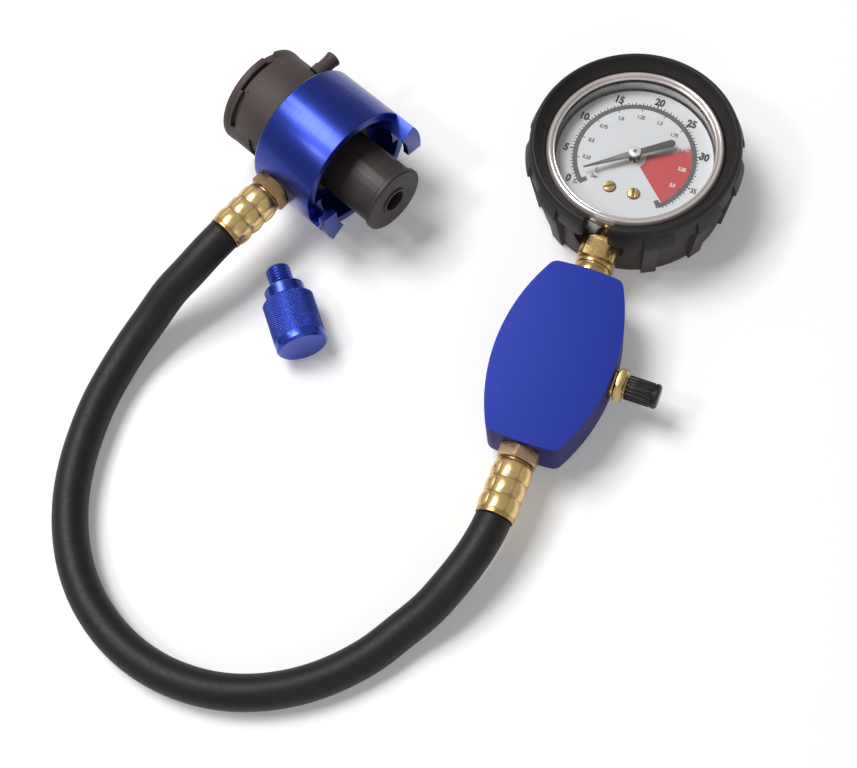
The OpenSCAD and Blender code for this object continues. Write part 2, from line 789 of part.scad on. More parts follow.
function tube_faces(rings, sides) = concat(
    [[for (j = [0:sides - 1]) j]],
    [for (i = [0:rings - 2]) for (j = [0:sides - 1]) for (h = [0, 1])
        let (n = (j + 1) % sides)
        h == 0 ? [i * sides + j, (i + 1) * sides + j, (i + 1) * sides + n]
               : [i * sides + j, (i + 1) * sides + n, i * sides + n]],
    [[for (j = [sides - 1:-1:0]) (rings - 1) * sides + j]]
);

module valve_spring() {
    wire = 0.25;
    turns = 3;
    room = (core_from - free_gap - 1.2 - pin_travel - free_gap) - (core_from - 6.5 + free_gap);
    pitch = (room - 2 * wire) / turns;
    rings = turns * 12 + 1;
    pts = [for (i = [0:rings - 1]) each wire_ring(i, 12, 1.9, wire, pitch)];
    color("#8f949c") translate([core_from - 6.5 + free_gap + wire, block_y, stem_z]) rotate([0, 90, 0])
        polyhedron(points = pts, faces = tube_faces(rings, 6));
}

module dust_cap() {
    cap_to = cap_from + cap_len;
    inside = barrel_to + 0.7;
    body_r = cap_r - 0.45;
    color("#1b1b1b") {
        about_valve([
            [cap_thread_r + 0.15, cap_from], [body_r, cap_from], [body_r, cap_to - 2.4],
            [cap_r, cap_to - 2.1], [cap_r, cap_to - 0.7], [cap_r - 0.8, cap_to], [0, cap_to],
            [0, inside], [cap_thread_r + 0.15, inside]
        ]);
        for (i = [0:17]) translate([0, block_y, stem_z]) rotate([20 * i, 0, 0])
            translate([cap_from, -0.35, body_r - 0.2])
                cube([cap_len - 2.2, 0.7, cap_r - body_r + 0.15]);
    }
}

module cap_seal() {
    color("#303030") about_valve([
        [0, barrel_to + 0.2], [cap_thread_r, barrel_to + 0.2], [cap_thread_r, barrel_to + 0.7],
        [0, barrel_to + 0.7]
    ]);
}

// ---- hose, ferrules and fittings: drawn along +Z from the seat's face ----

ferrule_from = fitting_hex_len + 0.75;
ferrule_to = ferrule_from + ferrule_len;

module fitting() {
    corner_r = fitting_hex / 2 / cos(30);
    color("#bd9350") difference() {
        union() {
            translate([0, 0, -fitting_thread]) cylinder(r = thread_r, h = fitting_thread + 1);
            intersection() {
                rotate([0, 0, 30]) cylinder(r = corner_r, h = fitting_hex_len, $fn = 6);
                rotate_extrude() polygon([
                    [0, 0], [fitting_hex / 2 + 0.1, 0], [corner_r, 0.8],
                    [corner_r, fitting_hex_len - 0.6], [fitting_hex / 2 + 0.1, fitting_hex_len],
                    [0, fitting_hex_len]
                ]);
            }
            cylinder(r = barb_r + 1.6, h = ferrule_from);
            cylinder(r = barb_r, h = ferrule_to - 3);
        }
        translate([0, 0, -fitting_thread - 1]) cylinder(r = fitting_bore, h = ferrule_to + 12);
    }
}

module ferrule() {
    low = ferrule_r - 0.55;
    bulge = (ferrule_len - 2.6) / 3;
    color("#c9a04a") difference() {
        rotate_extrude() polygon(concat(
            [[barb_r + fit_gap, ferrule_from], [low - 0.5, ferrule_from], [low, ferrule_from + 0.6]],
            [for (i = [0:2]) for (k = [1:6])
                [low + (ferrule_r - low) * sin(30 * k), ferrule_from + 1 + bulge * (i + k / 6)]],
            [[low - 0.1, ferrule_to], [hose_r + 0.12, ferrule_to],
             [hose_r + 0.12, ferrule_from + 1.3], [barb_r + fit_gap, ferrule_from + 1.3]]
        ));
        for (i = [0:5]) rotate([0, 0, 60 * i]) translate([ferrule_r + 1.7, 0, ferrule_from + 1])
            cylinder(r = 2.2, h = 3 * bulge, $fn = 32);
    }
}

module hose_end() {
    translate([0, 0, ferrule_from + 1.5]) ring(hose_r, barb_r + fit_gap, ferrule_len - 1.6);
}

module block_fitting() { translate([0, face_depth, 0]) on_block_port() fitting(); }
module head_fitting() { on_port() translate([0, 0, port_face]) fitting(); }
module block_ferrule() { translate([0, face_depth, 0]) on_block_port() ferrule(); }
module head_ferrule() { on_port() translate([0, 0, port_face]) ferrule(); }

module hose_ends() {
    color("#232323") {
        translate([0, face_depth, 0]) on_block_port() hose_end();
        on_port() translate([0, 0, port_face]) hose_end();
    }
}

// The hose is a tube whose rings lie square to the route; each ring's first point is the most
// level direction across the hose. It leaves both ferrules straight.
function route_dir(i) =
    i == 0 ? [0, -1, 0] :
    i == len(hose_route) - 1 ? [-sin(head_turn), cos(head_turn), 0] :
    unit(hose_route[i + 1] - hose_route[i - 1]);

function hose_ring(i) =
    let (d = route_dir(i), across = unit(cross(d, [0, 0, 1])), up = cross(across, d))
    [for (j = [0:hose_sides - 1]) let (a = j * 360 / hose_sides)
        hose_route[i] + hose_r * (cos(a) * across + sin(a) * up)];

module hose() {
    rings = len(hose_route);
    color("#1c1c1d") polyhedron(
        points = [for (i = [0:rings - 1]) each hose_ring(i)],
        faces = tube_faces(rings, hose_sides)
    );
}

// ---- adapter head ----

module lug() {
    // A ring sector with a radial slot that is open on its upper side.
    difference() {
        rotate([0, 0, -101]) rotate_extrude(angle = 37)
            translate([lug_in, cup_floor]) square([head_r - lug_in, head_len + lug_len - cup_floor]);
        rotate([0, 0, -82]) {
            translate([lug_in - 2, 0, head_len + lug_slot / 2 + 0.1]) rotate([0, 90, 0])
                cylinder(r = lug_slot / 2, h = head_r - lug_in + 5);
            translate([lug_in - 2, -16, head_len + 0.1]) cube([head_r - lug_in + 5, 16, lug_slot]);
        }
    }
}

module adapter_body() {
    color("#2433b4") difference() {
        union() {
            on_head() {
                difference() {
                    rotate_extrude() polygon([
                        [0, 0], [head_r - 0.8, 0], [head_r, 0.8], [head_r, head_len - 0.3],
                        [head_r - 0.3, head_len], [0, head_len]
                    ]);
                    translate([0, 0, cup_floor]) cylinder(r = cup_r, h = head_len);
                }
                for (turn = [0, 180]) rotate([0, 0, turn]) lug();
            }
        }
        on_head() {
            translate([0, 0, -1]) cylinder(r = stem_hole, h = head_len + 10);
            translate([0, 0, -1]) cylinder(r = spigot_r + fit_gap, h = spigot_len + 1 + fit_gap);
        }
        on_port() {
            translate([0, 0, port_face]) cylinder(r = port_spot_r, h = 10);
            translate([0, 0, port_face - fitting_thread - 1])
                cylinder(r = thread_r + fit_gap, h = fitting_thread + 5);
            translate([0, 0, 8]) cylinder(r = 1.8, h = head_r);
        }
    }
}

module ring_cut(from, to, low, high, inner, outer) {
    rotate([0, 0, -90 - to]) rotate_extrude(angle = to - from)
        translate([inner, low]) square([outer - inner, high - low]);
}

module filler_neck() {
    color("#4a403c") on_head() difference() {
        rotate_extrude() polygon([
            [neck_seat_r, -neck_seat_t], [neck_out_r - neck_wall, -neck_seat_t],
            [neck_out_r - neck_wall, -neck_len], [neck_out_r - 0.3, -neck_len],
            [neck_out_r + 0.2, 0.4 - neck_len], [neck_out_r + 0.2, 2.4 - neck_len],
            [neck_out_r, 2.6 - neck_len], [neck_out_r, 0], [spigot_r, 0], [spigot_r, spigot_len],
            [neck_seat_r, spigot_len]
        ]);
        for (turn = [0, 180]) rotate([0, 0, turn]) {
            ring_cut(61, 110, 2.9 - neck_len, 4.7 - neck_len, neck_out_r - 1.9, neck_out_r + 3);
            ring_cut(14, 64, 4.2 - neck_len, 7.1 - neck_len, neck_out_r - 1.7, neck_out_r + 3);
            ring_cut(104, 122, -1 - neck_len, 3.6 - neck_len, neck_out_r - 1.4, neck_out_r + 3);
            ring_cut(-11, 18, -9, -4, neck_out_r - 1.2, neck_out_r + 3);
        }
        translate([-nipple_up, 12, nipple_t]) rotate([-90, 0, 0])
            cylinder(r = nipple_root_r + fit_gap, h = 12);
    }
}

module overflow_nipple() {
    color("#4a403c") on_head() translate([-nipple_up, nipple_from, nipple_t]) rotate([-90, 0, 0])
        difference() {
            rotate_extrude() polygon([
                [0, 0], [nipple_root_r, 0], [nipple_root_r, nipple_root_to - nipple_from],
                [nipple_r, nipple_root_to - nipple_from], [nipple_r, nipple_to - nipple_from],
                [0, nipple_to - nipple_from]
            ]);
            translate([0, 0, -1]) cylinder(r = nipple_r - 1.1, h = nipple_to);
        }
}

module seal_stem() {
    color("#40383a") difference() {
        on_head() difference() {
            rotate_extrude() polygon([
                [0, seal_from], [seal_r, seal_from], [seal_r, cup_floor],
                [seal_r + 3, cup_floor], [seal_r + 3, cup_floor + 2.8], [seal_r + 2.3, cup_floor + 3.5],
                [seal_r, cup_floor + 3.5], [seal_r, tip_t - flange_t - 0.6],
                [tip_r, tip_t - flange_t], [tip_r, tip_t - 0.4], [tip_r - 0.5, tip_t], [0, tip_t]
            ]);
            translate([0, 0, tip_t - bush_len]) cylinder(r = bush_r + fit_gap, h = bush_len + 1);
            translate([0, 0, port_t - 3]) cylinder(r = 3, h = tip_t);
            for (t = oring_places) translate([0, 0, t]) ring(seal_r + 1, seal_r - oring_h, oring_w);
        }
        on_port() cylinder(r = 1.8, h = head_r);
    }
}

module tip_bush() {
    color("#40383a") on_head() translate([0, 0, tip_t - bush_len])
        ring(bush_r, tip_hole_r, bush_len + 0.5);
}

module oring(mean_r, wire_r) {
    rotate_extrude() translate([mean_r, 0]) circle(wire_r, $fn = 32);
}

module stem_oring() {
    wire = (stem_hole - fit_gap / 2 - (seal_r - oring_h) - fit_gap / 2) / 2;
    color("#202020") on_head() for (t = oring_places)
        translate([0, 0, t + oring_w / 2]) oring(stem_hole - fit_gap / 2 - wire, wire);
}

// ---- loose test plug: drawn along +Z from its end face ----

module on_plug() {
    translate(plug_place) rotate([0, 0, plug_turn]) rotate([0, 90, 0]) children();
}

module test_plug() {
    collar_z = grip_len + 0.8;
    thread_z = grip_len + plug_collar_len;
    thread_to = thread_z + plug_thread_len;
    color("#2433b4") on_plug() rotate_extrude() polygon([
        [0, 0], [grip_r - 1, 0], [grip_r - 0.1, 0.9], [grip_r - 0.1, 3.4], [grip_r, 3.6],
        [grip_r, grip_len - 0.4], [grip_r - 0.4, grip_len], [plug_collar_r - 0.6, grip_len],
        [plug_collar_r - 0.6, collar_z], [plug_collar_r, collar_z], [plug_collar_r, thread_z - 0.7],
        [plug_collar_r - 0.7, thread_z], [plug_thread_r - 0.7, thread_z],
        [plug_thread_r - 0.7, thread_z + relief], [plug_thread_r, thread_z + relief + 0.6],
        [plug_thread_r, thread_to - 0.7], [plug_thread_r - 0.7, thread_to], [0, thread_to]
    ]);
}

module plug_oring() {
    wire = relief / 2 - 0.1;
    color("#202020") on_plug() translate([0, 0, grip_len + plug_collar_len + relief / 2])
        oring(plug_thread_r - 0.7 + fit_gap + wire, wire);
}

rubber_boot();
gauge_case();
bezel_ring();
lens();
lens_gasket();
dial_plate();
dial_screws();
stop_pin();
pointer();
pinion();
sector_gear();
sector_link();
hairspring();
movement_plates();
movement_pillars();
movement_screws();
bourdon_tube();
tube_tip();
gauge_socket();
manifold_block();
valve_body();
valve_core();
valve_pin();
valve_spring();
dust_cap();
cap_seal();
block_fitting();
block_ferrule();
hose_ends();
hose();
head_ferrule();
head_fitting();
adapter_body();
filler_neck();
overflow_nipple();
seal_stem();
tip_bush();
stem_oring();
test_plug();
plug_oring();
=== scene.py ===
# %% [markdown]
# # Radiator pressure tester
# A pressure gauge in a rubber boot sits on a blue block with an air valve. A hose leads from the
# block to a bayonet head, which lies on its side, and a loose test plug lies beside it.
# The CAD part is loaded first and gives every place and size. Blender adds what the eye sees:
# rounded edges, knurling, threads, the printed dial and the finishes.

# %% The CAD frame
import math

import bmesh
import bpy
import numpy as np
from mathutils import Matrix, Vector


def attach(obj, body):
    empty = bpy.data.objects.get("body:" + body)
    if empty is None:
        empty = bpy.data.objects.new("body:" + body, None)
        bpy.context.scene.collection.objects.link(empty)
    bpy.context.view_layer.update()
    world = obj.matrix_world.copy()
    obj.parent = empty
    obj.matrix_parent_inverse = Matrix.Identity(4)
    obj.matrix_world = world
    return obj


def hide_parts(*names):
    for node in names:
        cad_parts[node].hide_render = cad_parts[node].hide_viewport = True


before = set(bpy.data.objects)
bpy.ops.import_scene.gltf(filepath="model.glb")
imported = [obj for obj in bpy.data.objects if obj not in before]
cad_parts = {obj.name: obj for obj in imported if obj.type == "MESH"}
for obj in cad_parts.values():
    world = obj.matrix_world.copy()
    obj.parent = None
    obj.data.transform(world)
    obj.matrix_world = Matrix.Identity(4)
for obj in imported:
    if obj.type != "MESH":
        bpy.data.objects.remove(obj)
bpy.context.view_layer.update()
scene = bpy.context.scene
MM = 0.001

# %% [markdown]
# ## Camera
# The camera stands high in front of the table. Its place, its lens and the slight turn of the
# picture were worked out from the round and straight edges in the photograph, so it is set by
# numbers. The turn is a roll about the line of sight, made after the camera has been aimed.

# %% Camera
CAMERA_AT = Vector((0.09591, -0.33790, 0.61542))
LOOK_AT = Vector((-0.04598, -0.10783, 0.0))
CAMERA_ROLL = math.radians(10.94)
LENS_MM = 72.9

camera = bpy.data.objects.new("camera", bpy.data.cameras.new("camera"))
scene.collection.objects.link(camera)
camera.data.sensor_width = 36
camera.data.lens = LENS_MM
camera.data.clip_start = 0.01
aim = (LOOK_AT - CAMERA_AT).to_track_quat("-Z", "Y").to_matrix().to_4x4()
camera.matrix_world = Matrix.Translation(CAMERA_AT) @ aim @ Matrix.Rotation(-CAMERA_ROLL, 4, "Z")
scene.camera = camera
print("camera looks down at", round(math.degrees(math.asin(
    (CAMERA_AT.z - LOOK_AT.z) / (LOOK_AT - CAMERA_AT).length)), 1), "degrees")

# %% [markdown]
# ## Surfaces from grids
# Every new piece is a grid of points that numpy works out as a whole. One helper turns such a
# grid into a mesh, closes it round either way, and closes an end with a fan where it has to be
# shut. `from_pydata` takes all points at once, which is much faster than adding them one by one.
# A turned shape is such a grid too: a profile of radius and height, taken once round.

# %% Grid to mesh
def mesh_from(name, points, faces, smooth=True):
    """An object from an array of points in millimetres and a list of faces."""
    mesh = bpy.data.meshes.new(name)
    mesh.from_pydata((np.asarray(points, float) * MM).tolist(), [], [list(f) for f in faces])
    mesh.polygons.foreach_set("use_smooth", np.full(len(mesh.polygons), smooth))
    mesh.validate()
    obj = bpy.data.objects.new(name, mesh)
    scene.collection.objects.link(obj)
    return obj


def grid_faces(rows, columns, wrap_rows, wrap_columns):
    """Quads between neighbours: rows go one way and columns the other, wrapping round where asked."""
    i = np.arange(rows if wrap_rows else rows - 1)
    j = np.arange(columns if wrap_columns else columns - 1)
    i, j = (x.ravel() for x in np.meshgrid(i, j, indexing="ij"))
    i2, j2 = (i + 1) % rows, (j + 1) % columns
    corners = [i * columns + j, i * columns + j2, i2 * columns + j2, i2 * columns + j]
    return np.stack(corners, axis=1)


def grid_object(name, points, wrap_rows=False, close_first=False, close_last=False):
    """A mesh through points[row, column] whose columns close round; a closed end gets a fan to the
    middle of its row."""
    rows, columns = points.shape[:2]
    flat = points.reshape(-1, 3)
    faces = [tuple(f) for f in grid_faces(rows, columns, wrap_rows, True)]
    j = np.arange(columns)
    for closed, row, backwards in ((close_first, 0, True), (close_last, rows - 1, False)):
        if closed:
            flat = np.vstack([flat, points[row].mean(axis=0)])
            middle = len(flat) - 1
            ring = row * columns + (j[::-1] if backwards else j)
            faces += [(a, b, middle) for a, b in zip(ring, np.roll(ring, -1))]
    return mesh_from(name, flat, faces)


def soften(corners, cut, steps=5, closed=False):
    """A polyline whose corners are rounded: each corner gives way to the quadratic blend of itself and
    the two points that lie cut before and after it, with a support point just outside each."""
    p = np.asarray(corners, float)
    cut = np.broadcast_to(np.asarray(cut, float), (len(p),))
    before, after = np.roll(p, 1, axis=0) - p, np.roll(p, -1, axis=0) - p
    before /= np.linalg.norm(before, axis=1, keepdims=True)
    after /= np.linalg.norm(after, axis=1, keepdims=True)
    a, b = p + before * cut[:, None], p + after * cut[:, None]
    s = np.linspace(0, 1, steps)[None, :, None]
    bend = (1 - s) ** 2 * a[:, None] + 2 * s * (1 - s) * p[:, None] + s ** 2 * b[:, None]
    whole = np.concatenate([a[:, None] + 0.15 * (a - p)[:, None], bend,
                            b[:, None] + 0.15 * (b - p)[:, None]], axis=1)
    if closed:
        return whole.reshape(-1, 2)
    return np.vstack([p[:1], whole[1:-1].reshape(-1, 2), p[-1:]])


def turn_angles(columns):
    """The angles of that many equal steps round a full turn."""
    return np.arange(columns) * 2 * np.pi / columns


def around(radius, z, a):
    """Points (radius * cos a, radius * sin a, z) for every row and column of the radius."""
    return np.stack([radius * np.cos(a), radius * np.sin(a), np.broadcast_to(z, radius.shape)], axis=2)


def turned(profile, columns):
    """The points of a turned shape: each (radius, height) of the profile goes once round the Z axis."""
    r, z = np.asarray(profile, float).T
    return around(np.repeat(r[:, None], columns, axis=1), z[:, None], turn_angles(columns))


def placed(points, origin, axis, side):
    """Points drawn along +Z and moved so that Z runs along axis and X along side, from origin."""
    axis, side = np.asarray(axis, float), np.asarray(side, float)
    return points @ np.stack([side, np.cross(axis, side), axis]) + np.asarray(origin, float)


print("a square ring turned in 8 steps has the grid", turned([(1, 0), (2, 0), (2, 1), (1, 1)], 8).shape)

# %% [markdown]
# ## The hose
# The real hose is a plain black rubber pipe. It leaves both ferrules straight, sinks to the table
# and lies in one wide loop. A bevelled curve object would do, but here the path is worked out in
# numpy. The route is the CAD hose's, drawn as a smooth curve through the same points. A
# round section is carried along it, whose first direction stays level, so that nothing twists.

# %% Hose
HOSE_ROUTE = np.array([
    [0, -155.8, 17.5], [-0.7, -163, 17.2], [-2.6, -172.3, 16.3], [-6.2, -183.2, 14.4],
    [-11.2, -194.3, 11.1], [-17.8, -204.7, 8.3], [-24.3, -215.1, 7.2], [-32, -224.5, 7],
    [-40.8, -232.7, 7], [-50.6, -239.4, 7], [-61.4, -244.6, 7], [-73, -248, 7],
    [-85.2, -249.3, 7], [-97.6, -248.5, 7], [-109.9, -245.4, 7], [-121.6, -240, 7],
    [-132.4, -232.5, 7], [-141.7, -223, 7], [-149.3, -211.9, 7], [-155, -199.8, 7],
    [-158.8, -187.1, 7], [-161, -174, 7], [-162, -160.7, 7], [-161.3, -147.5, 7.5],
    [-159, -135.1, 9.7], [-155.3, -123.4, 13.5], [-151, -112.9, 18.9], [-145.6, -103.2, 23.4],
    [-141.4, -94, 26.1], [-138.1, -85.9, 27],
])
HOSE_R = 6.84
STEPS_BETWEEN_POINTS = 10
HOSE_COLUMNS = 40
HEAD_TURN = math.radians(-21.72)
HEAD_AXIS = np.array([math.cos(HEAD_TURN), math.sin(HEAD_TURN), 0])
HOSE_SIDE = np.array([math.sin(HEAD_TURN), -math.cos(HEAD_TURN), 0])


def curve_through(points, steps):
    """A smooth curve through the points: between two of them, the four nearest are mixed by the
    Catmull-Rom weights of the way gone."""
    p = np.vstack([2 * points[0] - points[1], points, 2 * points[-1] - points[-2]])
    s = np.linspace(0, 1, steps, endpoint=False)[None, :, None]
    a, b, c, d = (p[k:len(p) - 3 + k, None] for k in range(4))
    run = 0.5 * (2 * b + (c - a) * s + (2 * a - 5 * b + 4 * c - d) * s ** 2
                 + (3 * b - a - 3 * c + d) * s ** 3)
    return np.vstack([run.reshape(-1, 3), points[-1]])


def tube_along(path, radius, columns, leaves, enters):
    """Rings of the given radius square to the path, whose first point is the level direction; the
    first and last ring are square to the ways in which the tube leaves and enters its ends."""
    way = np.gradient(path, axis=0)
    way[0], way[-1] = leaves, enters
    way /= np.linalg.norm(way, axis=1, keepdims=True)
    across = np.cross(way, [0, 0, 1])
    across /= np.linalg.norm(across, axis=1, keepdims=True)
    up = np.cross(across, way)
    a = turn_angles(columns)
    ring = np.cos(a)[None, :, None] * across[:, None] + np.sin(a)[None, :, None] * up[:, None]
    return path[:, None] + radius * ring


hose_path = curve_through(HOSE_ROUTE, STEPS_BETWEEN_POINTS)
rings = tube_along(hose_path, HOSE_R, HOSE_COLUMNS, leaves=(0, -1, 0), enters=-HOSE_SIDE)
hose = grid_object("hose_cover", rings[:, ::-1], close_first=True, close_last=True)
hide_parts("hose")
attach(hose, "frame")

# %% [markdown]
# ## Starting a material
# Every material here starts empty. One helper clears its nodes and gives back a short way to add
# more, so that each finish below shows only the nodes that matter to it. A second helper makes the
# value that tells what looks at a surface, which the floor needs.

# %% Material starter
def new_material(name):
    """An empty node material: gives the material, its node tree and a function that adds nodes."""
    made = bpy.data.materials.new(name)
    made.use_nodes = True
    tree = made.node_tree
    tree.nodes.clear()

    def node(kind, **settings):
        """Adds a node of that kind and sets these of its properties."""
        n = tree.nodes.new(kind)
        for key, value in settings.items():
            setattr(n, key, value)
        return n

    return made, tree, node


def seen_or_mirrored(tree, node):
    """A socket that is 1 for rays from the camera, from a mirror or through glass, else 0."""
    rays = node("ShaderNodeLightPath")
    first, both = node("ShaderNodeMath", operation="MAXIMUM"), node("ShaderNodeMath", operation="MAXIMUM")
    tree.links.new(rays.outputs["Is Camera Ray"], first.inputs[0])
    tree.links.new(rays.outputs["Is Glossy Ray"], first.inputs[1])
    tree.links.new(first.outputs[0], both.inputs[0])
    tree.links.new(rays.outputs["Is Transmission Ray"], both.inputs[1])
    return both.outputs[0]


print("material helpers are ready")

# %% [markdown]
# ## The table
# The tester is shown on white. A plain white plane would come out grey at a light that suits the
# object, so the floor gets a little more brightness where the camera, a mirror or glass looks at
# it. The object's own light stays plain, and the floor keeps its shadows.

# %% Floor
FLOOR_HALF = 2.5
FLOOR_WHITE = (0.9, 0.9, 0.9, 1)
FLOOR_LIFT = (0.19, 0.19, 0.19, 1)
floor = mesh_from("floor", np.array([[-1, -1, 0], [1, -1, 0], [1, 1, 0], [-1, 1, 0]]) * FLOOR_HALF / MM,
                  [(0, 1, 2, 3)])
floor_paint, tree, node = new_material("floor_paint")
matt, lift, both = node("ShaderNodeBsdfDiffuse"), node("ShaderNodeEmission"), node("ShaderNodeAddShader")
matt.inputs["Color"].default_value = FLOOR_WHITE
tree.links.new(seen_or_mirrored(tree, node), lift.inputs["Strength"])
lift.inputs["Color"].default_value = FLOOR_LIFT
tree.links.new(matt.outputs[0], both.inputs[0])
tree.links.new(lift.outputs[0], both.inputs[1])
tree.links.new(both.outputs[0], node("ShaderNodeOutputMaterial").inputs["Surface"])
floor.data.materials.append(floor_paint)
print("floor is", 2 * FLOOR_HALF, "metres wide")

# %% [markdown]
# ## The light
# Soft shadows fall to the lower right, so one wide key lamp hangs far off on the upper left. From
# that distance it lights the whole table evenly. A small side lamp gives the turned parts a
# highlight, and a weak fill lamp opens the near sides. The room is brighter in mirrors than it is as
# a light, which gives the metals something white to show.

# %% Lamps and room
MIDDLE = Vector((-0.05, -0.1, 0.0))
ROOM_COLOUR = (0.88, 0.87, 0.86, 1)
ROOM_LIGHT = 0.19
ROOM_IN_MIRRORS = 0.5


def area_lamp(name, place, width, power):
    """A square lamp of that width in metres, turned to the middle of the tester."""
    lamp = bpy.data.lights.new(name, "AREA")
    lamp.energy, lamp.size = power, width
    obj = bpy.data.objects.new(name, lamp)
    scene.collection.objects.link(obj)
    obj.location = place
    obj.rotation_euler = (MIDDLE - Vector(place)).to_track_quat("-Z", "Y").to_euler()


area_lamp("key_lamp", (-1.42, 0.22, 2.85), 1.4, 76)
area_lamp("side_lamp", (-0.87, -0.60, 1.28), 0.2, 3)
area_lamp("fill_lamp", (0.7, -1.1, 0.8), 1.0, 2)
world = bpy.data.worlds.new("studio")
scene.world = world
world.use_nodes = True
sky = world.node_tree.nodes["Background"]
sky.inputs["Color"].default_value = ROOM_COLOUR
mirrored, brightness, shown = (world.node_tree.nodes.new("ShaderNode" + kind)
                               for kind in ("LightPath", "MapRange", "Math"))
brightness.inputs["To Min"].default_value = ROOM_LIGHT
brightness.inputs["To Max"].default_value = ROOM_IN_MIRRORS
world.node_tree.links.new(mirrored.outputs["Is Glossy Ray"], brightness.inputs["Value"])
shown.operation = "MAXIMUM"
world.node_tree.links.new(brightness.outputs[0], shown.inputs[0])
world.node_tree.links.new(mirrored.outputs["Is Camera Ray"], shown.inputs[1])
world.node_tree.links.new(shown.outputs[0], sky.inputs["Strength"])
scene.view_settings.view_transform = "Standard"

# %% [markdown]
# ## Shared grain
# One node group gives every finish its grain: `Fine` for bump and uneven gloss, `Broad` for soft
# patches of colour. A brushed surface stretches the noise across one direction, and `Turn` lays
# that direction along the head, whose axis is turned on the table.

# %% Node group
def group(name, inputs, outputs):
    """A shader node group with float inputs {name: default} and outputs {name: socket type}."""
    tree = bpy.data.node_groups.new(name, "ShaderNodeTree")
    for key, value in inputs.items():
        s = tree.interface.new_socket(name=key, in_out="INPUT", socket_type="NodeSocketFloat")
        s.default_value = value
    for key, kind in outputs.items():
        tree.interface.new_socket(name=key, in_out="OUTPUT", socket_type=kind)
    return tree, tree.nodes.new("NodeGroupInput"), tree.nodes.new("NodeGroupOutput")


grain_group, entry, leave = group("grain", {"Scale": 900.0, "Stretch": 1.0, "Turn": 0.0},
                                  {"Fine": "NodeSocketFloat", "Broad": "NodeSocketFloat"})
links = grain_group.links
place = grain_group.nodes.new("ShaderNodeTexCoord")
lay = grain_group.nodes.new("ShaderNodeVectorRotate")
lay.rotation_type = "Z_AXIS"
stretch = grain_group.nodes.new("ShaderNodeCombineXYZ")
scaled = grain_group.nodes.new("ShaderNodeVectorMath")
scaled.operation = "MULTIPLY"
stretch.inputs[0].default_value = 1
links.new(entry.outputs["Stretch"], stretch.inputs[1])
links.new(entry.outputs["Stretch"], stretch.inputs[2])
links.new(place.outputs["Object"], lay.inputs["Vector"])
links.new(entry.outputs["Turn"], lay.inputs["Angle"])
links.new(lay.outputs[0], scaled.inputs[0])
links.new(stretch.outputs[0], scaled.inputs[1])
for output, share, detail in (("Fine", 1.0, 3.0), ("Broad", 0.08, 2.0)):
    noise = grain_group.nodes.new("ShaderNodeTexNoise")
    noise.inputs["Detail"].default_value = detail
    size = grain_group.nodes.new("ShaderNodeMath")
    size.operation = "MULTIPLY"
    size.inputs[1].default_value = share
    links.new(entry.outputs["Scale"], size.inputs[0])
    links.new(size.outputs[0], noise.inputs["Scale"])
    links.new(scaled.outputs[0], noise.inputs["Vector"])
    links.new(noise.outputs["Fac"], leave.inputs[output])
print("grain group:", [s.name for s in grain_group.interface.items_tree])

# %% [markdown]
# ## Finishes
# Every finish is a Principled shader. Its roughness runs between two values with the fine grain,
# its colour varies a little in broad patches, and constants such as the coat are set on the
# shader's own sockets. A metal shows what it mirrors, tinted by its own colour, so the brass and
# the chrome live from the white room and the dark pieces round them.

# %% Finish maker
def finish(name, colour, metallic=0.0, rough=(0.4, 0.5), bump=0.15, depth=0.00003, scale=900.0,
           stretch=1.0, turn=0.0, mottle=0.06, fixed=None):
    """A Principled finish: grain moves its roughness between the two values, its bump stands depth
    high, and broad patches darken or lighten the colour by the share mottle."""
    made, tree, node = new_material(name)
    shader = node("ShaderNodeBsdfPrincipled")
    grain = node("ShaderNodeGroup")
    grain.node_tree = grain_group
    for key, value in (("Scale", scale), ("Stretch", stretch), ("Turn", turn)):
        grain.inputs[key].default_value = value
    level = node("ShaderNodeMapRange")
    level.inputs["From Min"].default_value, level.inputs["From Max"].default_value = 0.3, 0.7
    level.inputs["To Min"].default_value, level.inputs["To Max"].default_value = rough
    tree.links.new(grain.outputs["Fine"], level.inputs["Value"])
    tree.links.new(level.outputs[0], shader.inputs["Roughness"])
    tint = node("ShaderNodeMix", data_type="RGBA")
    tint.inputs["A"].default_value = (*[c * (1 - mottle) for c in colour], 1)
    tint.inputs["B"].default_value = (*[min(1, c * (1 + mottle)) for c in colour], 1)
    tree.links.new(grain.outputs["Broad"], tint.inputs["Factor"])
    tree.links.new(tint.outputs["Result"], shader.inputs["Base Color"])
    relief = node("ShaderNodeBump")
    relief.inputs["Strength"].default_value, relief.inputs["Distance"].default_value = bump, depth
    tree.links.new(grain.outputs["Fine"], relief.inputs["Height"])
    tree.links.new(relief.outputs[0], shader.inputs["Normal"])
    shader.inputs["Metallic"].default_value = metallic
    for key, value in (fixed or {}).items():
        shader.inputs[key].default_value = value
    tree.links.new(shader.outputs[0], node("ShaderNodeOutputMaterial").inputs["Surface"])
    return made


print("finish maker is ready")

# %% [markdown]
# ## The finishes
# The colours below are linear values, which is what Blender's sockets take. Turned anodising
# mirrors more than the milled block does, and the crimped ferrules are brighter than the nuts.

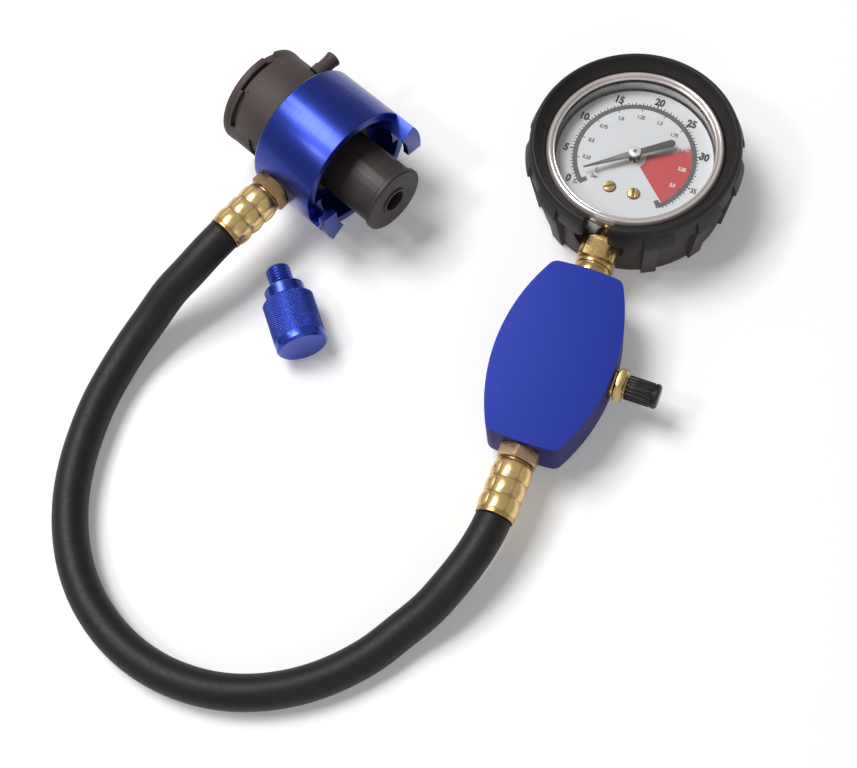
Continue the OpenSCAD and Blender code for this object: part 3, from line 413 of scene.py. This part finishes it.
# %% Finishes
DIAL_WHITE = (0.70, 0.71, 0.73)
boot_rubber = finish("boot_rubber", (0.0125, 0.0105, 0.0100), rough=(0.50, 0.62), bump=0.25, scale=1500,
                     mottle=0.2, fixed={"Specular IOR Level": 0.35})
hose_rubber = finish("hose_rubber", (0.0105, 0.0082, 0.0078), rough=(0.46, 0.56), scale=700, mottle=0.3,
                     fixed={"Specular IOR Level": 0.3})
gasket_rubber = finish("gasket_rubber", (0.02, 0.02, 0.02), rough=(0.6, 0.7))
blue = finish("blue_anodised", (0.017, 0.038, 0.36), metallic=0.25, rough=(0.55, 0.65), bump=0.15,
              scale=2600, mottle=0.05, fixed={"Specular IOR Level": 0.3})
blue_turned = finish("blue_turned", (0.010, 0.030, 0.27), metallic=0.85, rough=(0.27, 0.36), bump=0.05,
                     scale=2200, stretch=0.02, turn=-HEAD_TURN, mottle=0.04,
                     fixed={"Coat Weight": 0.3, "Coat Roughness": 0.22})
blue_bright = finish("blue_bright", (0.022, 0.055, 0.42), metallic=0.8, rough=(0.24, 0.34), bump=0.05,
                     mottle=0.04, fixed={"Coat Weight": 0.3, "Coat Roughness": 0.2})
brass = finish("brass_machined", (0.56, 0.39, 0.165), metallic=1.0, rough=(0.2, 0.28), bump=0.06, mottle=0.06)
nut_brass = finish("brass_nut", (0.62, 0.42, 0.26), metallic=1.0, rough=(0.3, 0.46), bump=0.5,
                   depth=0.00008, scale=1000, mottle=0.2)
crimped = finish("brass_crimped", (0.84, 0.60, 0.27), metallic=0.95, rough=(0.24, 0.34), bump=0.1,
                 mottle=0.14)
small_nut = finish("brass_small_nut", (0.46, 0.29, 0.14), metallic=1.0, rough=(0.3, 0.42), bump=0.2,
                   mottle=0.15)
steel = finish("case_steel", (0.50, 0.48, 0.47), metallic=1.0, rough=(0.25, 0.35))
chrome = finish("bezel_chrome", (0.74, 0.68, 0.66), metallic=0.6, rough=(0.16, 0.24), bump=0.03,
                fixed={"Coat Weight": 0.5, "Coat Roughness": 0.05})
dial_paint = finish("dial_paint", DIAL_WHITE, rough=(0.45, 0.5), bump=0.03, mottle=0.01)
black_paint = finish("pointer_paint", (0.045, 0.042, 0.040), rough=(0.40, 0.5), bump=0.03)
hub_metal = finish("hub_metal", (0.60, 0.56, 0.54), metallic=0.6, rough=(0.3, 0.4), bump=0.05)
ink_black = finish("ink_black", (0.010, 0.010, 0.011), rough=(0.5, 0.55), bump=0.0)
ink_grey = finish("ink_grey", (0.075, 0.074, 0.075), rough=(0.5, 0.55), bump=0.0)
# Painted shade for the dial screws: the ring round their heads and the fill in their slots.
screw_shade_brown = finish("screw_shade_brown", (0.09, 0.045, 0.022), rough=(0.5, 0.55), bump=0.0)
ink_white = finish("ink_white", (0.80, 0.80, 0.80), rough=(0.5, 0.55), bump=0.0)
cap_plastic = finish("cap_plastic", (0.006, 0.0058, 0.006), rough=(0.34, 0.44),
                     fixed={"Specular IOR Level": 0.4})
composite = finish("head_composite", (0.070, 0.054, 0.050), rough=(0.5, 0.62), bump=0.3, scale=1300,
                   mottle=0.15, fixed={"Specular IOR Level": 0.3})
post_finish = finish("post_composite", (0.038, 0.0275, 0.026), rough=(0.42, 0.52), scale=1100,
                     mottle=0.12, fixed={"Specular IOR Level": 0.4})
print("finishes that use the grain:", grain_group.users)

# %% [markdown]
# ## Second colours
# Three pieces get a second colour. The boot's skirt is browner and paler than its rim, partly its
# own tone and partly painted light on its upright sides. The block's sides are darker than its top,
# which is painted shade, and the ferrules' valleys are darker than their domes, also painted shade.
# Two materials per piece would give hard borders, so one mask blends the colours instead.

# %% Second colours
def above(from_z, to_z):
    """A mask that is 0 below from_z and 1 above to_z, in metres."""
    def mask(tree):
        """Builds the mask in a material's node tree and gives its socket."""
        where, axes, level = (tree.nodes.new("ShaderNode" + kind)
                              for kind in ("TexCoord", "SeparateXYZ", "MapRange"))
        level.inputs["From Min"].default_value, level.inputs["From Max"].default_value = from_z, to_z
        tree.links.new(where.outputs["Object"], axes.inputs[0])
        tree.links.new(axes.outputs["Z"], level.inputs["Value"])
        return level.outputs[0]

    return mask


def stored(name):
    """A mask that was stored with the mesh, one number per vertex."""
    def mask(tree):
        """Builds the mask in a material's node tree and gives its socket."""
        number = tree.nodes.new("ShaderNodeAttribute")
        number.attribute_name = name
        return number.outputs["Fac"]

    return mask


def second_colour(material, colour, mask):
    """The finish takes the other colour where the mask is 0 and keeps its own where it is 1."""
    tree = material.node_tree
    shader = next(n for n in tree.nodes if n.type == "BSDF_PRINCIPLED")
    own = shader.inputs["Base Color"].links[0].from_socket
    blend = tree.nodes.new("ShaderNodeMix")
    blend.data_type = "RGBA"
    blend.inputs["A"].default_value = (*colour, 1)
    tree.links.new(mask(tree), blend.inputs["Factor"])
    tree.links.new(own, blend.inputs["B"])
    tree.links.new(blend.outputs["Result"], shader.inputs["Base Color"])


# The skirt's paler colour is partly the rubber's own tone and partly painted light on its upright sides.
second_colour(boot_rubber, (0.075, 0.058, 0.055), above(0.0235, 0.0255))
# Painted shade: the block's sides, below its top, are darker than the top.
second_colour(blue, (0.022, 0.020, 0.16), above(0.0262, 0.0269))
# Painted shade: the ferrules' valleys are darker than their domes.
second_colour(crimped, (0.46, 0.28, 0.10), stored("valley_shade"))
print("two colours on:", [m.name for m in (boot_rubber, blue, crimped)])

# %% [markdown]
# ## Finishes on the CAD pieces
# Each CAD node gets the finish of the real piece. Nodes that a finer piece replaces later are in
# the table as well, so that nothing is left unpainted if such a piece is taken out.

# %% Finishes on the CAD pieces
NODE_FINISH = {
    "gauge_case": steel, "lens_gasket": gasket_rubber, "cap_seal": gasket_rubber,
    "stem_oring": gasket_rubber, "plug_oring": gasket_rubber, "dial_plate": dial_paint,
    "dial_screws": brass, "pinion": brass, "sector_gear": brass, "sector_link": brass,
    "movement_plates": brass, "movement_pillars": brass, "movement_screws": brass, "tube_tip": brass,
    "valve_core": brass, "pointer": black_paint, "stop_pin": steel, "hairspring": steel,
    "valve_spring": steel, "valve_pin": steel, "bourdon_tube": brass, "gauge_socket": brass,
    "valve_body": brass, "block_fitting": nut_brass, "head_fitting": nut_brass,
    "block_ferrule": crimped, "head_ferrule": crimped, "manifold_block": blue,
    "adapter_body": blue_turned, "test_plug": blue, "dust_cap": cap_plastic,
    "hose_ends": hose_rubber, "hose": hose_rubber, "filler_neck": composite,
    "overflow_nipple": composite, "seal_stem": post_finish, "tip_bush": post_finish,
    "bezel_ring": chrome, "rubber_boot": boot_rubber,
}


def paint(obj, material):
    """Gives a piece this one material."""
    obj.data.materials.clear()
    obj.data.materials.append(material)


for node_name, material in NODE_FINISH.items():
    paint(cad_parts[node_name], material)
paint(hose, hose_rubber)
print(len(NODE_FINISH), "CAD nodes have their finish")

# %% [markdown]
# ## Zone paint and window glass
# The red zone of the dial fades out at its upper end. The fade is stored with the mesh as a number
# per vertex, and an Attribute node hands it to the colour. The window's glass lets shadow rays and
# the dial's own diffuse rays through, so that the dial is lit as if the glass weren't there, while
# the camera sees real glass.

# %% Zone paint and window glass
ZONE_RED = (0.50, 0.045, 0.047, 1)
zone_paint, tree, node = new_material("zone_paint")
shader, fade, zone_mix = (node("ShaderNodeBsdfPrincipled"), node("ShaderNodeAttribute"),
                          node("ShaderNodeMix", data_type="RGBA"))
fade.attribute_name = "fade"
zone_mix.inputs["A"].default_value = (*DIAL_WHITE, 1)
zone_mix.inputs["B"].default_value = ZONE_RED
tree.links.new(fade.outputs["Fac"], zone_mix.inputs["Factor"])
tree.links.new(zone_mix.outputs["Result"], shader.inputs["Base Color"])
shader.inputs["Roughness"].default_value = 0.45
tree.links.new(shader.outputs[0], node("ShaderNodeOutputMaterial").inputs["Surface"])

glass, tree, node = new_material("window_glass")
clear, open_way, either = (node("ShaderNodeBsdfPrincipled"), node("ShaderNodeBsdfTransparent"),
                           node("ShaderNodeMixShader"))
rays, light_only = node("ShaderNodeLightPath"), node("ShaderNodeMath", operation="MAXIMUM")
clear.inputs["Base Color"].default_value = (0.97, 0.98, 0.98, 1)
clear.inputs["Roughness"].default_value = 0.0
clear.inputs["IOR"].default_value = 1.45
clear.inputs["Transmission Weight"].default_value = 1.0
tree.links.new(rays.outputs["Is Shadow Ray"], light_only.inputs[0])
tree.links.new(rays.outputs["Is Diffuse Ray"], light_only.inputs[1])
tree.links.new(light_only.outputs[0], either.inputs[0])
tree.links.new(clear.outputs[0], either.inputs[1])
tree.links.new(open_way.outputs[0], either.inputs[2])
tree.links.new(either.outputs[0], node("ShaderNodeOutputMaterial").inputs["Surface"])
paint(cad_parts["lens"], glass)
print("zone paint and glass are made")

# %% [markdown]
# ## Softened copies
# A machined or moulded part has no knife edges. Where the CAD shape is right, a copy of its mesh
# is merged, its flat faces are joined, and a Bevel modifier rounds every edge that turns sharply.

# %% Softening
MERGE_WITHIN = 2e-6
BEVEL_SEGMENTS = 3
SHARP_ANGLE = 25


def hand_over(obj, body, material, slot, *nodes):
    """Paints a piece, lets it ride on a body and take the place of the CAD nodes."""
    paint(obj, material)
    if nodes:
        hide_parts(*nodes)
    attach(obj, body)
    return obj


def softened(node_name, piece_name, width, body, material, slot):
    """A copy of a CAD node whose sharp edges are rounded by that width in millimetres."""
    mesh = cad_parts[node_name].data.copy()
    work = bmesh.new()
    work.from_mesh(mesh)
    bmesh.ops.remove_doubles(work, verts=work.verts, dist=MERGE_WITHIN)
    bmesh.ops.dissolve_limit(work, angle_limit=math.radians(1), verts=work.verts, edges=work.edges)
    work.to_mesh(mesh)
    work.free()
    mesh.polygons.foreach_set("use_smooth", np.ones(len(mesh.polygons), bool))
    obj = bpy.data.objects.new(piece_name, mesh)
    scene.collection.objects.link(obj)
    edge = obj.modifiers.new("edge", "BEVEL")
    edge.width, edge.segments, edge.limit_method = width * MM, BEVEL_SEGMENTS, "ANGLE"
    edge.angle_limit = math.radians(SHARP_ANGLE)
    edge.harden_normals = True
    return hand_over(obj, body, material, slot, node_name)


def vertex_places(obj):
    """The vertices of a mesh as an array, in millimetres."""
    flat = np.empty(len(obj.data.vertices) * 3)
    obj.data.vertices.foreach_get("co", flat)
    return flat.reshape(-1, 3) / MM


def move_vertices(obj, places):
    """Puts the vertices at these places, in millimetres."""
    obj.data.vertices.foreach_set("co", (places * MM).ravel())


print("edges that turn by more than", SHARP_ANGLE, "degrees are rounded")

# %% [markdown]
# ## The boot
# The moulded boot has raised blocks whose upper side slopes outwards. In the CAD part that side is
# level, so the vertices of each block's top are moved: those near the wall sink a little, those at
# the outer edge sink more, and all of them move slightly inwards.

# %% Boot
TOP_FROM_R, TOP_FROM_Z = 41.5, 30
CAD_R = [41.9, 42.6]
SLOPED_R, SLOPED_Z = [41.1, 42.3], [33.0, 29.0]

boot = softened("rubber_boot", "boot", 0.7, "frame", boot_rubber, "boot_rubber")
points = vertex_places(boot)
r = np.hypot(points[:, 0], points[:, 1])
upper = (r > TOP_FROM_R) & (points[:, 2] > TOP_FROM_Z)
points[upper, :2] *= (np.interp(r[upper], CAD_R, SLOPED_R) / r[upper])[:, None]
points[upper, 2] = np.interp(r[upper], CAD_R, SLOPED_Z)
move_vertices(boot, points)
print("boot:", int(upper.sum()), "vertices lowered")

# %% [markdown]
# ## Machined pieces
# The head, the block, the nuts and the pointer only need their edges rounded. The valve's barrel
# is also made thinner, which leaves room for the ridges of its thread.

# %% Machined pieces
VALVE = dict(origin=(0, -90.5, 17.5), axis=(1, 0, 0), side=(0, 0, -1))
VALVE_THREAD_R, VALVE_BARREL_R = 3.87, 3.5

softened("adapter_body", "head_body", 0.35, "frame", blue_turned, "blue_anodised")
softened("manifold_block", "block", 0.45, "frame", blue, "blue_anodised")
softened("filler_neck", "neck", 0.3, "frame", composite, "head_composite")
softened("seal_stem", "post", 0.3, "frame", post_finish, "head_composite")
softened("tip_bush", "post_bush", 0.25, "frame", post_finish, "head_composite")
softened("gauge_socket", "stem", 0.25, "frame", brass, "brass")
valve = softened("valve_body", "valve", 0.2, "frame", brass, "brass")
points = vertex_places(valve) - VALVE["origin"]
barrel = np.abs(np.hypot(points[:, 1], points[:, 2]) - VALVE_THREAD_R) < 0.03
points[barrel, 1:] *= VALVE_BARREL_R / VALVE_THREAD_R
move_vertices(valve, points + VALVE["origin"])
softened("block_fitting", "block_nut", 0.3, "frame", nut_brass, "brass")
softened("head_fitting", "head_nut", 0.3, "frame", small_nut, "brass")
softened("dial_screws", "screws", 0.14, "frame", brass, "dial_brass")
softened("pointer", "hand_blade", 0.05, "hand", black_paint, "pointer_black")

# %% [markdown]
# ## Dial print
# The dial is printed flat. A dark band carries fine ticks on its outer side for psi and short
# ticks on its inner side for bar, and a red zone marks pressures that are too high. An image would
# blur up close, so each mark is a thin face just above the plate. Painted shade darkens the slots
# of the two screws and a ring on the dial round their heads, which shows them from afar.

# %% Flat marks
DIAL_TOP = 23.1
INK = DIAL_TOP + 0.03
OVER_BAND = INK + 0.01
BAND_INNER_R = 22.3
ZERO_ANGLE, DEGREES_PER_PSI, DEGREES_PER_BAR = 222, 6.75, 97.2
ZONE_FROM, ZONE_TO, ZONE_FADE, ZONE_COLUMNS = -44, 33, 8, 78
SCREW_X, SCREW_Y = 4.9, -15.3


def flat_arc(inner, outer, first, last, z, columns=96):
    """A flat arc from angle first to last in degrees, seen from above; gives points and faces."""
    a = np.radians(np.linspace(first, last, columns))
    ring = np.stack([np.cos(a), np.sin(a)], axis=1)
    points = np.stack([np.hstack([ring * r, np.full((columns, 1), z)]) for r in (outer, inner)])
    return points.reshape(-1, 3), grid_faces(2, columns, False, False)


def tick(angle, inner, outer, width, z):
    """A straight mark along a ray from the middle; gives points and one face."""
    along = np.array([math.cos(math.radians(angle)), math.sin(math.radians(angle)), 0])
    side = np.array([-along[1], along[0], 0]) * width / 2
    corners = [along * inner - side, along * outer - side, along * outer + side, along * inner + side]
    return np.array(corners) + [0, 0, z], np.array([[0, 1, 2, 3]])


def joined(name, parts):
    """One flat-shaded object from several (points, faces) pairs."""
    start, points, faces = 0, [], []
    for p, f in parts:
        points.append(p)
        faces += [tuple(int(i) + start for i in corner) for corner in f]
        start += len(p)
    return mesh_from(name, np.vstack(points), faces, smooth=False)


def psi_angle(p):
    """The angle of a pressure in psi: the zero's angle less so many degrees per psi."""
    return ZERO_ANGLE - DEGREES_PER_PSI * p


def bar_angle(b):
    """The angle of a pressure in bar: the zero's angle less so many degrees per bar."""
    return ZERO_ANGLE - DEGREES_PER_BAR * b


band = [flat_arc(BAND_INNER_R, 24.2, -48, 225, INK, 240),
        flat_arc(20.6, 24.0, 222.4, 227.6, OVER_BAND, 8),
        flat_arc(20.6, 24.0, -50.6, -45.4, OVER_BAND, 8)]
hand_over(joined("dial_band", band), "frame", ink_grey, "dial_face")
psi_ticks = [tick(psi_angle(p), 24.1, 25.6 if p % 5 == 0 else 25.15 if p % 1 == 0 else 24.8,
                  0.55 if p % 5 == 0 else 0.4, OVER_BAND) for p in np.arange(0, 40, 0.5)]
bar_ticks = [tick(bar_angle(b), 21.3, 22.4, 0.35, OVER_BAND) for b in np.arange(0.25, 2.6, 0.25)]
hand_over(joined("dial_ticks", psi_ticks + bar_ticks), "frame", ink_black, "dial_face")
zone = joined("dial_zone",
              [flat_arc(4.5, BAND_INNER_R, ZONE_FROM, ZONE_TO, INK - 0.015, ZONE_COLUMNS)])
zone_angles = np.linspace(ZONE_FROM, ZONE_TO, ZONE_COLUMNS)
shade = np.tile(np.clip((ZONE_TO - zone_angles) / ZONE_FADE, 0, 1), 2)
zone.data.attributes.new("fade", "FLOAT", "POINT").data.foreach_set("value", shade.astype(np.float32))
hand_over(zone, "frame", zone_paint, "dial_face")
# Painted shade: a dark ring on the dial round each screw head and a dark fill in each slot.
marks = []
for x, turn in ((-SCREW_X, 35), (SCREW_X, 105)):
    edge_ring = flat_arc(2.25, 2.6, 0, 360, INK, 49)
    slot_line = tick(turn, -2.15, 2.15, 0.72, DIAL_TOP + 0.48)
    for points, faces in (edge_ring, slot_line):
        marks.append((points + [x, SCREW_Y, 0], faces))
hand_over(joined("screw_shade", marks), "frame", screw_shade_brown, "dial_brass")
print("dial marks:", len(psi_ticks), "psi ticks and", len(bar_ticks), "bar ticks")

# %% [markdown]
# ## Numbers on the dial
# A text object is only used to draw the outlines. Its filled mesh is scaled to the wanted height,
# condensed sideways and moved as an array, so the numbers end as plain faces.

# %% Numbers
def lettering(words, height, middle, condense, bold):
    """Words as filled faces of that height in millimetres, centred on middle; points and faces."""
    curve = bpy.data.curves.new("words", "FONT")
    curve.body, curve.offset, curve.resolution_u = words, bold, 6
    drawn = bpy.data.objects.new("words", curve)
    scene.collection.objects.link(drawn)
    mesh = drawn.to_mesh()
    flat = np.empty(len(mesh.vertices) * 3)
    mesh.vertices.foreach_get("co", flat)
    points = flat.reshape(-1, 3)
    faces = [tuple(p.vertices) if p.normal.z > 0 else tuple(reversed(p.vertices)) for p in mesh.polygons]
    low, high = points.min(axis=0), points.max(axis=0)
    points = (points - (low + high) / 2) * height / (high[1] - low[1]) * [condense, 1, 0]
    drawn.to_mesh_clear()
    bpy.data.objects.remove(drawn)
    bpy.data.curves.remove(curve)
    return points + [*middle, OVER_BAND], faces


def on_ray(radius, angle):
    """The place at that radius on the ray of that angle in degrees."""
    return radius * math.cos(math.radians(angle)), radius * math.sin(math.radians(angle))


psi_words = [lettering(str(p), 3.55, on_ray(27.1, psi_angle(p) - (4 if p == 0 else 0)), 0.86, 0.055)
             for p in range(0, 31, 5)]
psi_words += [lettering("psi", 1.7, on_ray(25.4, 224.5), 0.9, 0.03)]
hand_over(joined("dial_numbers", psi_words), "frame", ink_black, "dial_face")
small = [lettering("%g" % b if b % 0.5 else "%.1f" % b, 1.75, on_ray(18.6, bar_angle(b)), 0.85, 0.04)
         for b in np.arange(0.25, 2.1, 0.25)]
small += [lettering("bar", 1.6, on_ray(17.4, 227), 0.95, 0.03),
          lettering("35", 2.2, on_ray(27.0, psi_angle(35)), 0.85, 0.04)]
hand_over(joined("dial_small_numbers", small), "frame", ink_black, "dial_face")
in_zone = [lettering("%g" % b, 1.65, on_ray(19.0, bar_angle(b)), 0.85, 0.04) for b in (2.25, 2.5)]
hand_over(joined("dial_zone_numbers", in_zone), "frame", ink_white, "dial_face")
print("numbers:", len(psi_words) + len(small) + len(in_zone))

# %% [markdown]
# ## Bezel and hub
# The bezel is rolled from sheet: a full round outside, a fine groove, a second thin ring and the
# lip that holds the window. Turned shapes are drawn as a profile of radius and height that is
# softened at its corners and taken once round.

# %% Bezel and hub
BEZEL = [(32.62, 25.02), (33.6, 25.02), (34.05, 26.5), (34.4, 28.5), (34.5, 30.2), (34.2, 31.6),
         (33.6, 32.6), (32.85, 32.9), (32.25, 32.6), (32.0, 31.95), (31.84, 31.4), (31.68, 31.95),
         (31.35, 32.02), (31.02, 31.85), (30.9, 31.5), (30.9, 31.22), (32.62, 31.22)]
profile = soften(BEZEL, [0.15, 0.2, 0.3, 0.3, 0.3, 0.3, 0.3, 0.25, 0.2, 0.1, 0.05, 0.08, 0.1, 0.1,
                         0.08, 0.05, 0.05], closed=True)
hand_over(grid_object("bezel", turned(profile, 160), wrap_rows=True), "frame", chrome, "bezel_chrome",
          "bezel_ring")
HUB = [(2.42, 26.84), (2.42, 27.95), (2.3, 28.15), (1.2, 28.22), (0.05, 28.24)]
hub = turned(soften(HUB, 0.05), 64)
hand_over(grid_object("hand_hub", hub, close_first=True, close_last=True), "hand", hub_metal,
          "pointer_black")
DOT = [(0.75, 28.0), (0.75, 28.3), (0.65, 28.36), (0.05, 28.38)]
hand_over(grid_object("hand_dot", turned(DOT, 32), close_first=True, close_last=True), "hand",
          black_paint, "pointer_black")
print("bezel rings:", len(profile))

# %% [markdown]
# ## Crimped ferrules
# A ferrule is pressed in three rows between six jaws. Each row swells like a barrel, and between
# the jaws six valleys run along it, so each jaw leaves a dome and the domes meet in small dimples.

# %% Ferrules
SEAT = 0.25
FERRULE_R, DOME_HEIGHT = 7.25, 0.68
ROWS_FROM, ROWS_TO, JAW_ROWS = 7.15, 26.55, 3
VALLEY_SHADE_DEPTH = 0.22
BLOCK_PORT = dict(origin=(0, -127.8 + SEAT, 17.5), axis=(0, -1, 0), side=(1, 0, 0))
HEAD_AT = np.array([-128.15, -31.37, 27.0])
HEAD_PORT = dict(origin=HEAD_AT + 11 * HEAD_AXIS + 26.1 * HOSE_SIDE, axis=HOSE_SIDE, side=HEAD_AXIS)


def ferrule_points(columns=144, steps=26):
    """Rows of r = FERRULE_R + DOME_HEIGHT * barrel * dome, where barrel = sin(pi * way through the
    row) ** 0.7 and dome = 0.1 + 0.9 * |sin(3 a)| ** 0.8, with a plain lip at the hose's end."""
    a = turn_angles(columns)
    z = np.linspace(ROWS_FROM, ROWS_TO, JAW_ROWS * steps + 1)
    way = ((z - ROWS_FROM) / ((ROWS_TO - ROWS_FROM) / JAW_ROWS)) % 1.0
    barrel = np.abs(np.sin(np.pi * way))[:, None] ** 0.7
    dome = 0.1 + 0.9 * np.abs(np.sin(3 * a))[None, :] ** 0.8
    crimps = around(FERRULE_R + DOME_HEIGHT * barrel * dome, z[:, None], a)
    seat = turned([(4.1, 6.16), (6.7, 6.16), (6.95, 6.25), (7.2, 6.6)], columns)
    lip = turned([(7.3, 26.8), (7.28, 27.8), (7.2, 28.1), (7.05, 28.15), (6.96, 28.1),
                  (6.96, 7.5), (4.1, 7.5)], columns)
    return np.concatenate([seat, crimps, lip])


for piece, node_name, port in (("block_crimp", "block_ferrule", BLOCK_PORT),
                               ("head_crimp", "head_ferrule", HEAD_PORT)):
    points = ferrule_points()
    obj = grid_object(piece, placed(points, **port), wrap_rows=True)
    # Painted shade: the mask is 0 down in the valleys and 1 on the domes, and darkens the valleys.
    height = np.hypot(points[..., 0], points[..., 1]) - FERRULE_R
    valley_shade = np.clip(height / VALLEY_SHADE_DEPTH, 0, 1).ravel().astype(np.float32)
    obj.data.attributes.new("valley_shade", "FLOAT", "POINT").data.foreach_set("value", valley_shade)
    hand_over(obj, "frame", crimped, "crimp_brass", node_name)
print("ferrules have", len(obj.data.polygons), "faces each")

# %% [markdown]
# ## Test plug
# The grip's diamond knurl comes from two families of slanted grooves. Each family is a triangle
# wave of the angle and the length, and the lower of the two waves is the height, which leaves
# small pyramids with cut tops. A bump map would leave the grip's edge smooth.

# %% Test plug
PLUG = dict(origin=(-95.1, -113.9, 10.3), side=(0, 0, -1),
            axis=(math.cos(math.radians(129.6)), math.sin(math.radians(129.6)), 0))
GRIP_R, KNURL_FROM, KNURL_TO = 10.3, 3.6, 20.9
KNURL_STARTS, KNURL_DEPTH, KNURL_ROWS = 60, 0.4, 129
GRIP_COLUMNS = 480


def triangle(x):
    """1 at whole numbers and 0 halfway between them."""
    return 1 - 2 * np.abs(x - np.round(x))


def knurled(r_out, low, high, starts, depth, columns, rows):
    """r = r_out - depth * (1 - 1.15 * the lower of triangle(u) and triangle(v), not below 0) * ends,
    where u and v are the turns times starts plus and minus the length over the pitch, and ends
    rises from 0 to 1 over the first and last 0.3 mm."""
    a = turn_angles(columns)
    z = np.linspace(low, high, rows)[:, None]
    pitch = 2 * np.pi * r_out / starts
    u, v = a * starts / (2 * np.pi) + z / pitch, a * starts / (2 * np.pi) - z / pitch
    height = np.clip(1 - 1.15 * np.minimum(triangle(u), triangle(v)), 0, 1)
    ends = np.clip(np.minimum(z - low, high - z) / 0.3, 0, 1)
    return around(r_out - depth * height * ends, z, a)


grip = np.concatenate([
    turned(soften([(0.05, 0), (9.3, 0), (10.2, 0.9), (10.2, 3.4)], 0.12), GRIP_COLUMNS),
    knurled(GRIP_R, KNURL_FROM, KNURL_TO, KNURL_STARTS, KNURL_DEPTH, GRIP_COLUMNS, KNURL_ROWS),
    turned(soften([(GRIP_R, 20.95), (9.9, 21.3), (7.4, 21.3), (7.4, 22.1), (8, 22.15), (8, 26.7),
                   (7.3, 27.4), (4.0, 27.4)], 0.12), GRIP_COLUMNS)])
hand_over(grid_object("plug_grip", placed(grip, **PLUG), close_first=True), "loose_plug", blue_bright,
          "blue_anodised", "test_plug")
print("knurl:", GRIP_COLUMNS, "columns round the grip")

# %% [markdown]
# ## Threads
# A real thread is one groove that winds round. Cutting it with a Boolean is slow, so the radius is
# a wave of the length, shifted by one pitch for each turn. The ridges fade out at both ends.

# %% Plug thread
THREAD_COLUMNS, ROWS_PER_PITCH = 96, 8


def threaded(r_out, depth, pitch, low, high):
    """r = r_out - depth * (1 - ridge * runout), where ridge is 1.25 * triangle(length / pitch -
    turns) - 0.1, kept from 0 to 1, and runout rises from 0 to 1 over the first and last 0.7 mm."""
    a = turn_angles(THREAD_COLUMNS)
    z = np.linspace(low, high, int((high - low) / pitch * ROWS_PER_PITCH))[:, None]
    ridge = np.clip(triangle(z / pitch - a / (2 * np.pi)) * 1.25 - 0.1, 0, 1)
    runout = np.clip(np.minimum(z - low, high - z) / 0.7, 0, 1)
    return around(r_out - depth * (1 - ridge * runout), z, a)


screw = np.concatenate([turned([(4.2, 27.3), (4.2, 28.8)], THREAD_COLUMNS),
                        threaded(4.9, 0.6, 1.25, 28.85, 36.3),
                        turned([(4.1, 36.45), (3.6, 36.68), (3.2, 36.7)], THREAD_COLUMNS)])
hand_over(grid_object("plug_thread", placed(screw, **PLUG), close_last=True), "loose_plug", blue_bright,
          "blue_anodised", "test_plug")
print("plug thread:", len(screw), "rows")

# %% [markdown]
# ## Dust cap, valve thread and overflow nipple
# The cap has eighteen ribs and is hollow, so that it looks right when it is taken off. It then
# bares the valve's fine thread, which is wound as the plug's is. The nipple swells a little at its
# end, which keeps an overflow hose on it.

# %% Dust cap, valve thread and nipple
CAP_RIBS, CAP_COLUMNS = 18, 216


def cap_points():
    """Inner rows down, then ribbed rows up: r = 4.35 + 0.4 * (0.6 + 1.2 * cos(ribs * a)), with the
    bracket kept from 0 to 1."""
    columns = CAP_COLUMNS
    a = turn_angles(columns)
    rib = 4.35 + 0.4 * np.clip(0.6 + 1.2 * np.cos(CAP_RIBS * a), 0, 1)
    inner = turned([(0.05, 38.3), (3.95, 38.3), (4.02, 38.1), (4.02, 28.4), (4.15, 28.2)], columns)
    z = np.array([28.25, 28.5, 32.0, 36.0, 38.2, 38.5])[:, None]
    lift = np.array([0, 1, 1, 1, 1, 0])[:, None]
    ribs = around(4.32 + (rib - 4.32) * lift, z, a)
    top = turned(soften([(4.35, 38.6), (4.8, 38.85), (4.8, 40.2), (4.0, 40.9), (0.05, 40.9)],
                        [0.05, 0.12, 0.25, 0.3, 0.1]), columns)
    return np.concatenate([inner, ribs, top])


hand_over(grid_object("cap", placed(cap_points(), **VALVE), close_first=True, close_last=True), "cap",
          cap_plastic, "cap_plastic", "dust_cap")
thread = np.concatenate([turned([(3.45, 28.75)], THREAD_COLUMNS),
                         threaded(VALVE_THREAD_R, 0.33, 0.79, 28.8, 37.1),
                         turned([(3.45, 37.15)], THREAD_COLUMNS)])
hand_over(grid_object("valve_thread", placed(thread, **VALVE)), "frame", brass, "brass", "valve_body")
NIPPLE = [(1.9, 0.02), (3.4, 0.02), (3.4, 3.3), (3.0, 3.55), (2.96, 7.2), (3.05, 8.4), (3.28, 9.4),
          (3.28, 10.05), (3.1, 10.28), (2.1, 10.28), (1.9, 10.1)]
nipple_at = HEAD_AT - 7.6 * HEAD_AXIS - 17.2 * HOSE_SIDE + [0, 0, 10]
nipple = placed(turned(soften(NIPPLE, 0.1, closed=True), 64), nipple_at, -HOSE_SIDE, HEAD_AXIS)
hand_over(grid_object("nipple", nipple, wrap_rows=True), "frame", composite, "head_composite",
          "overflow_nipple")
print("cap has", CAP_RIBS, "ribs, valve thread", len(thread), "rows")
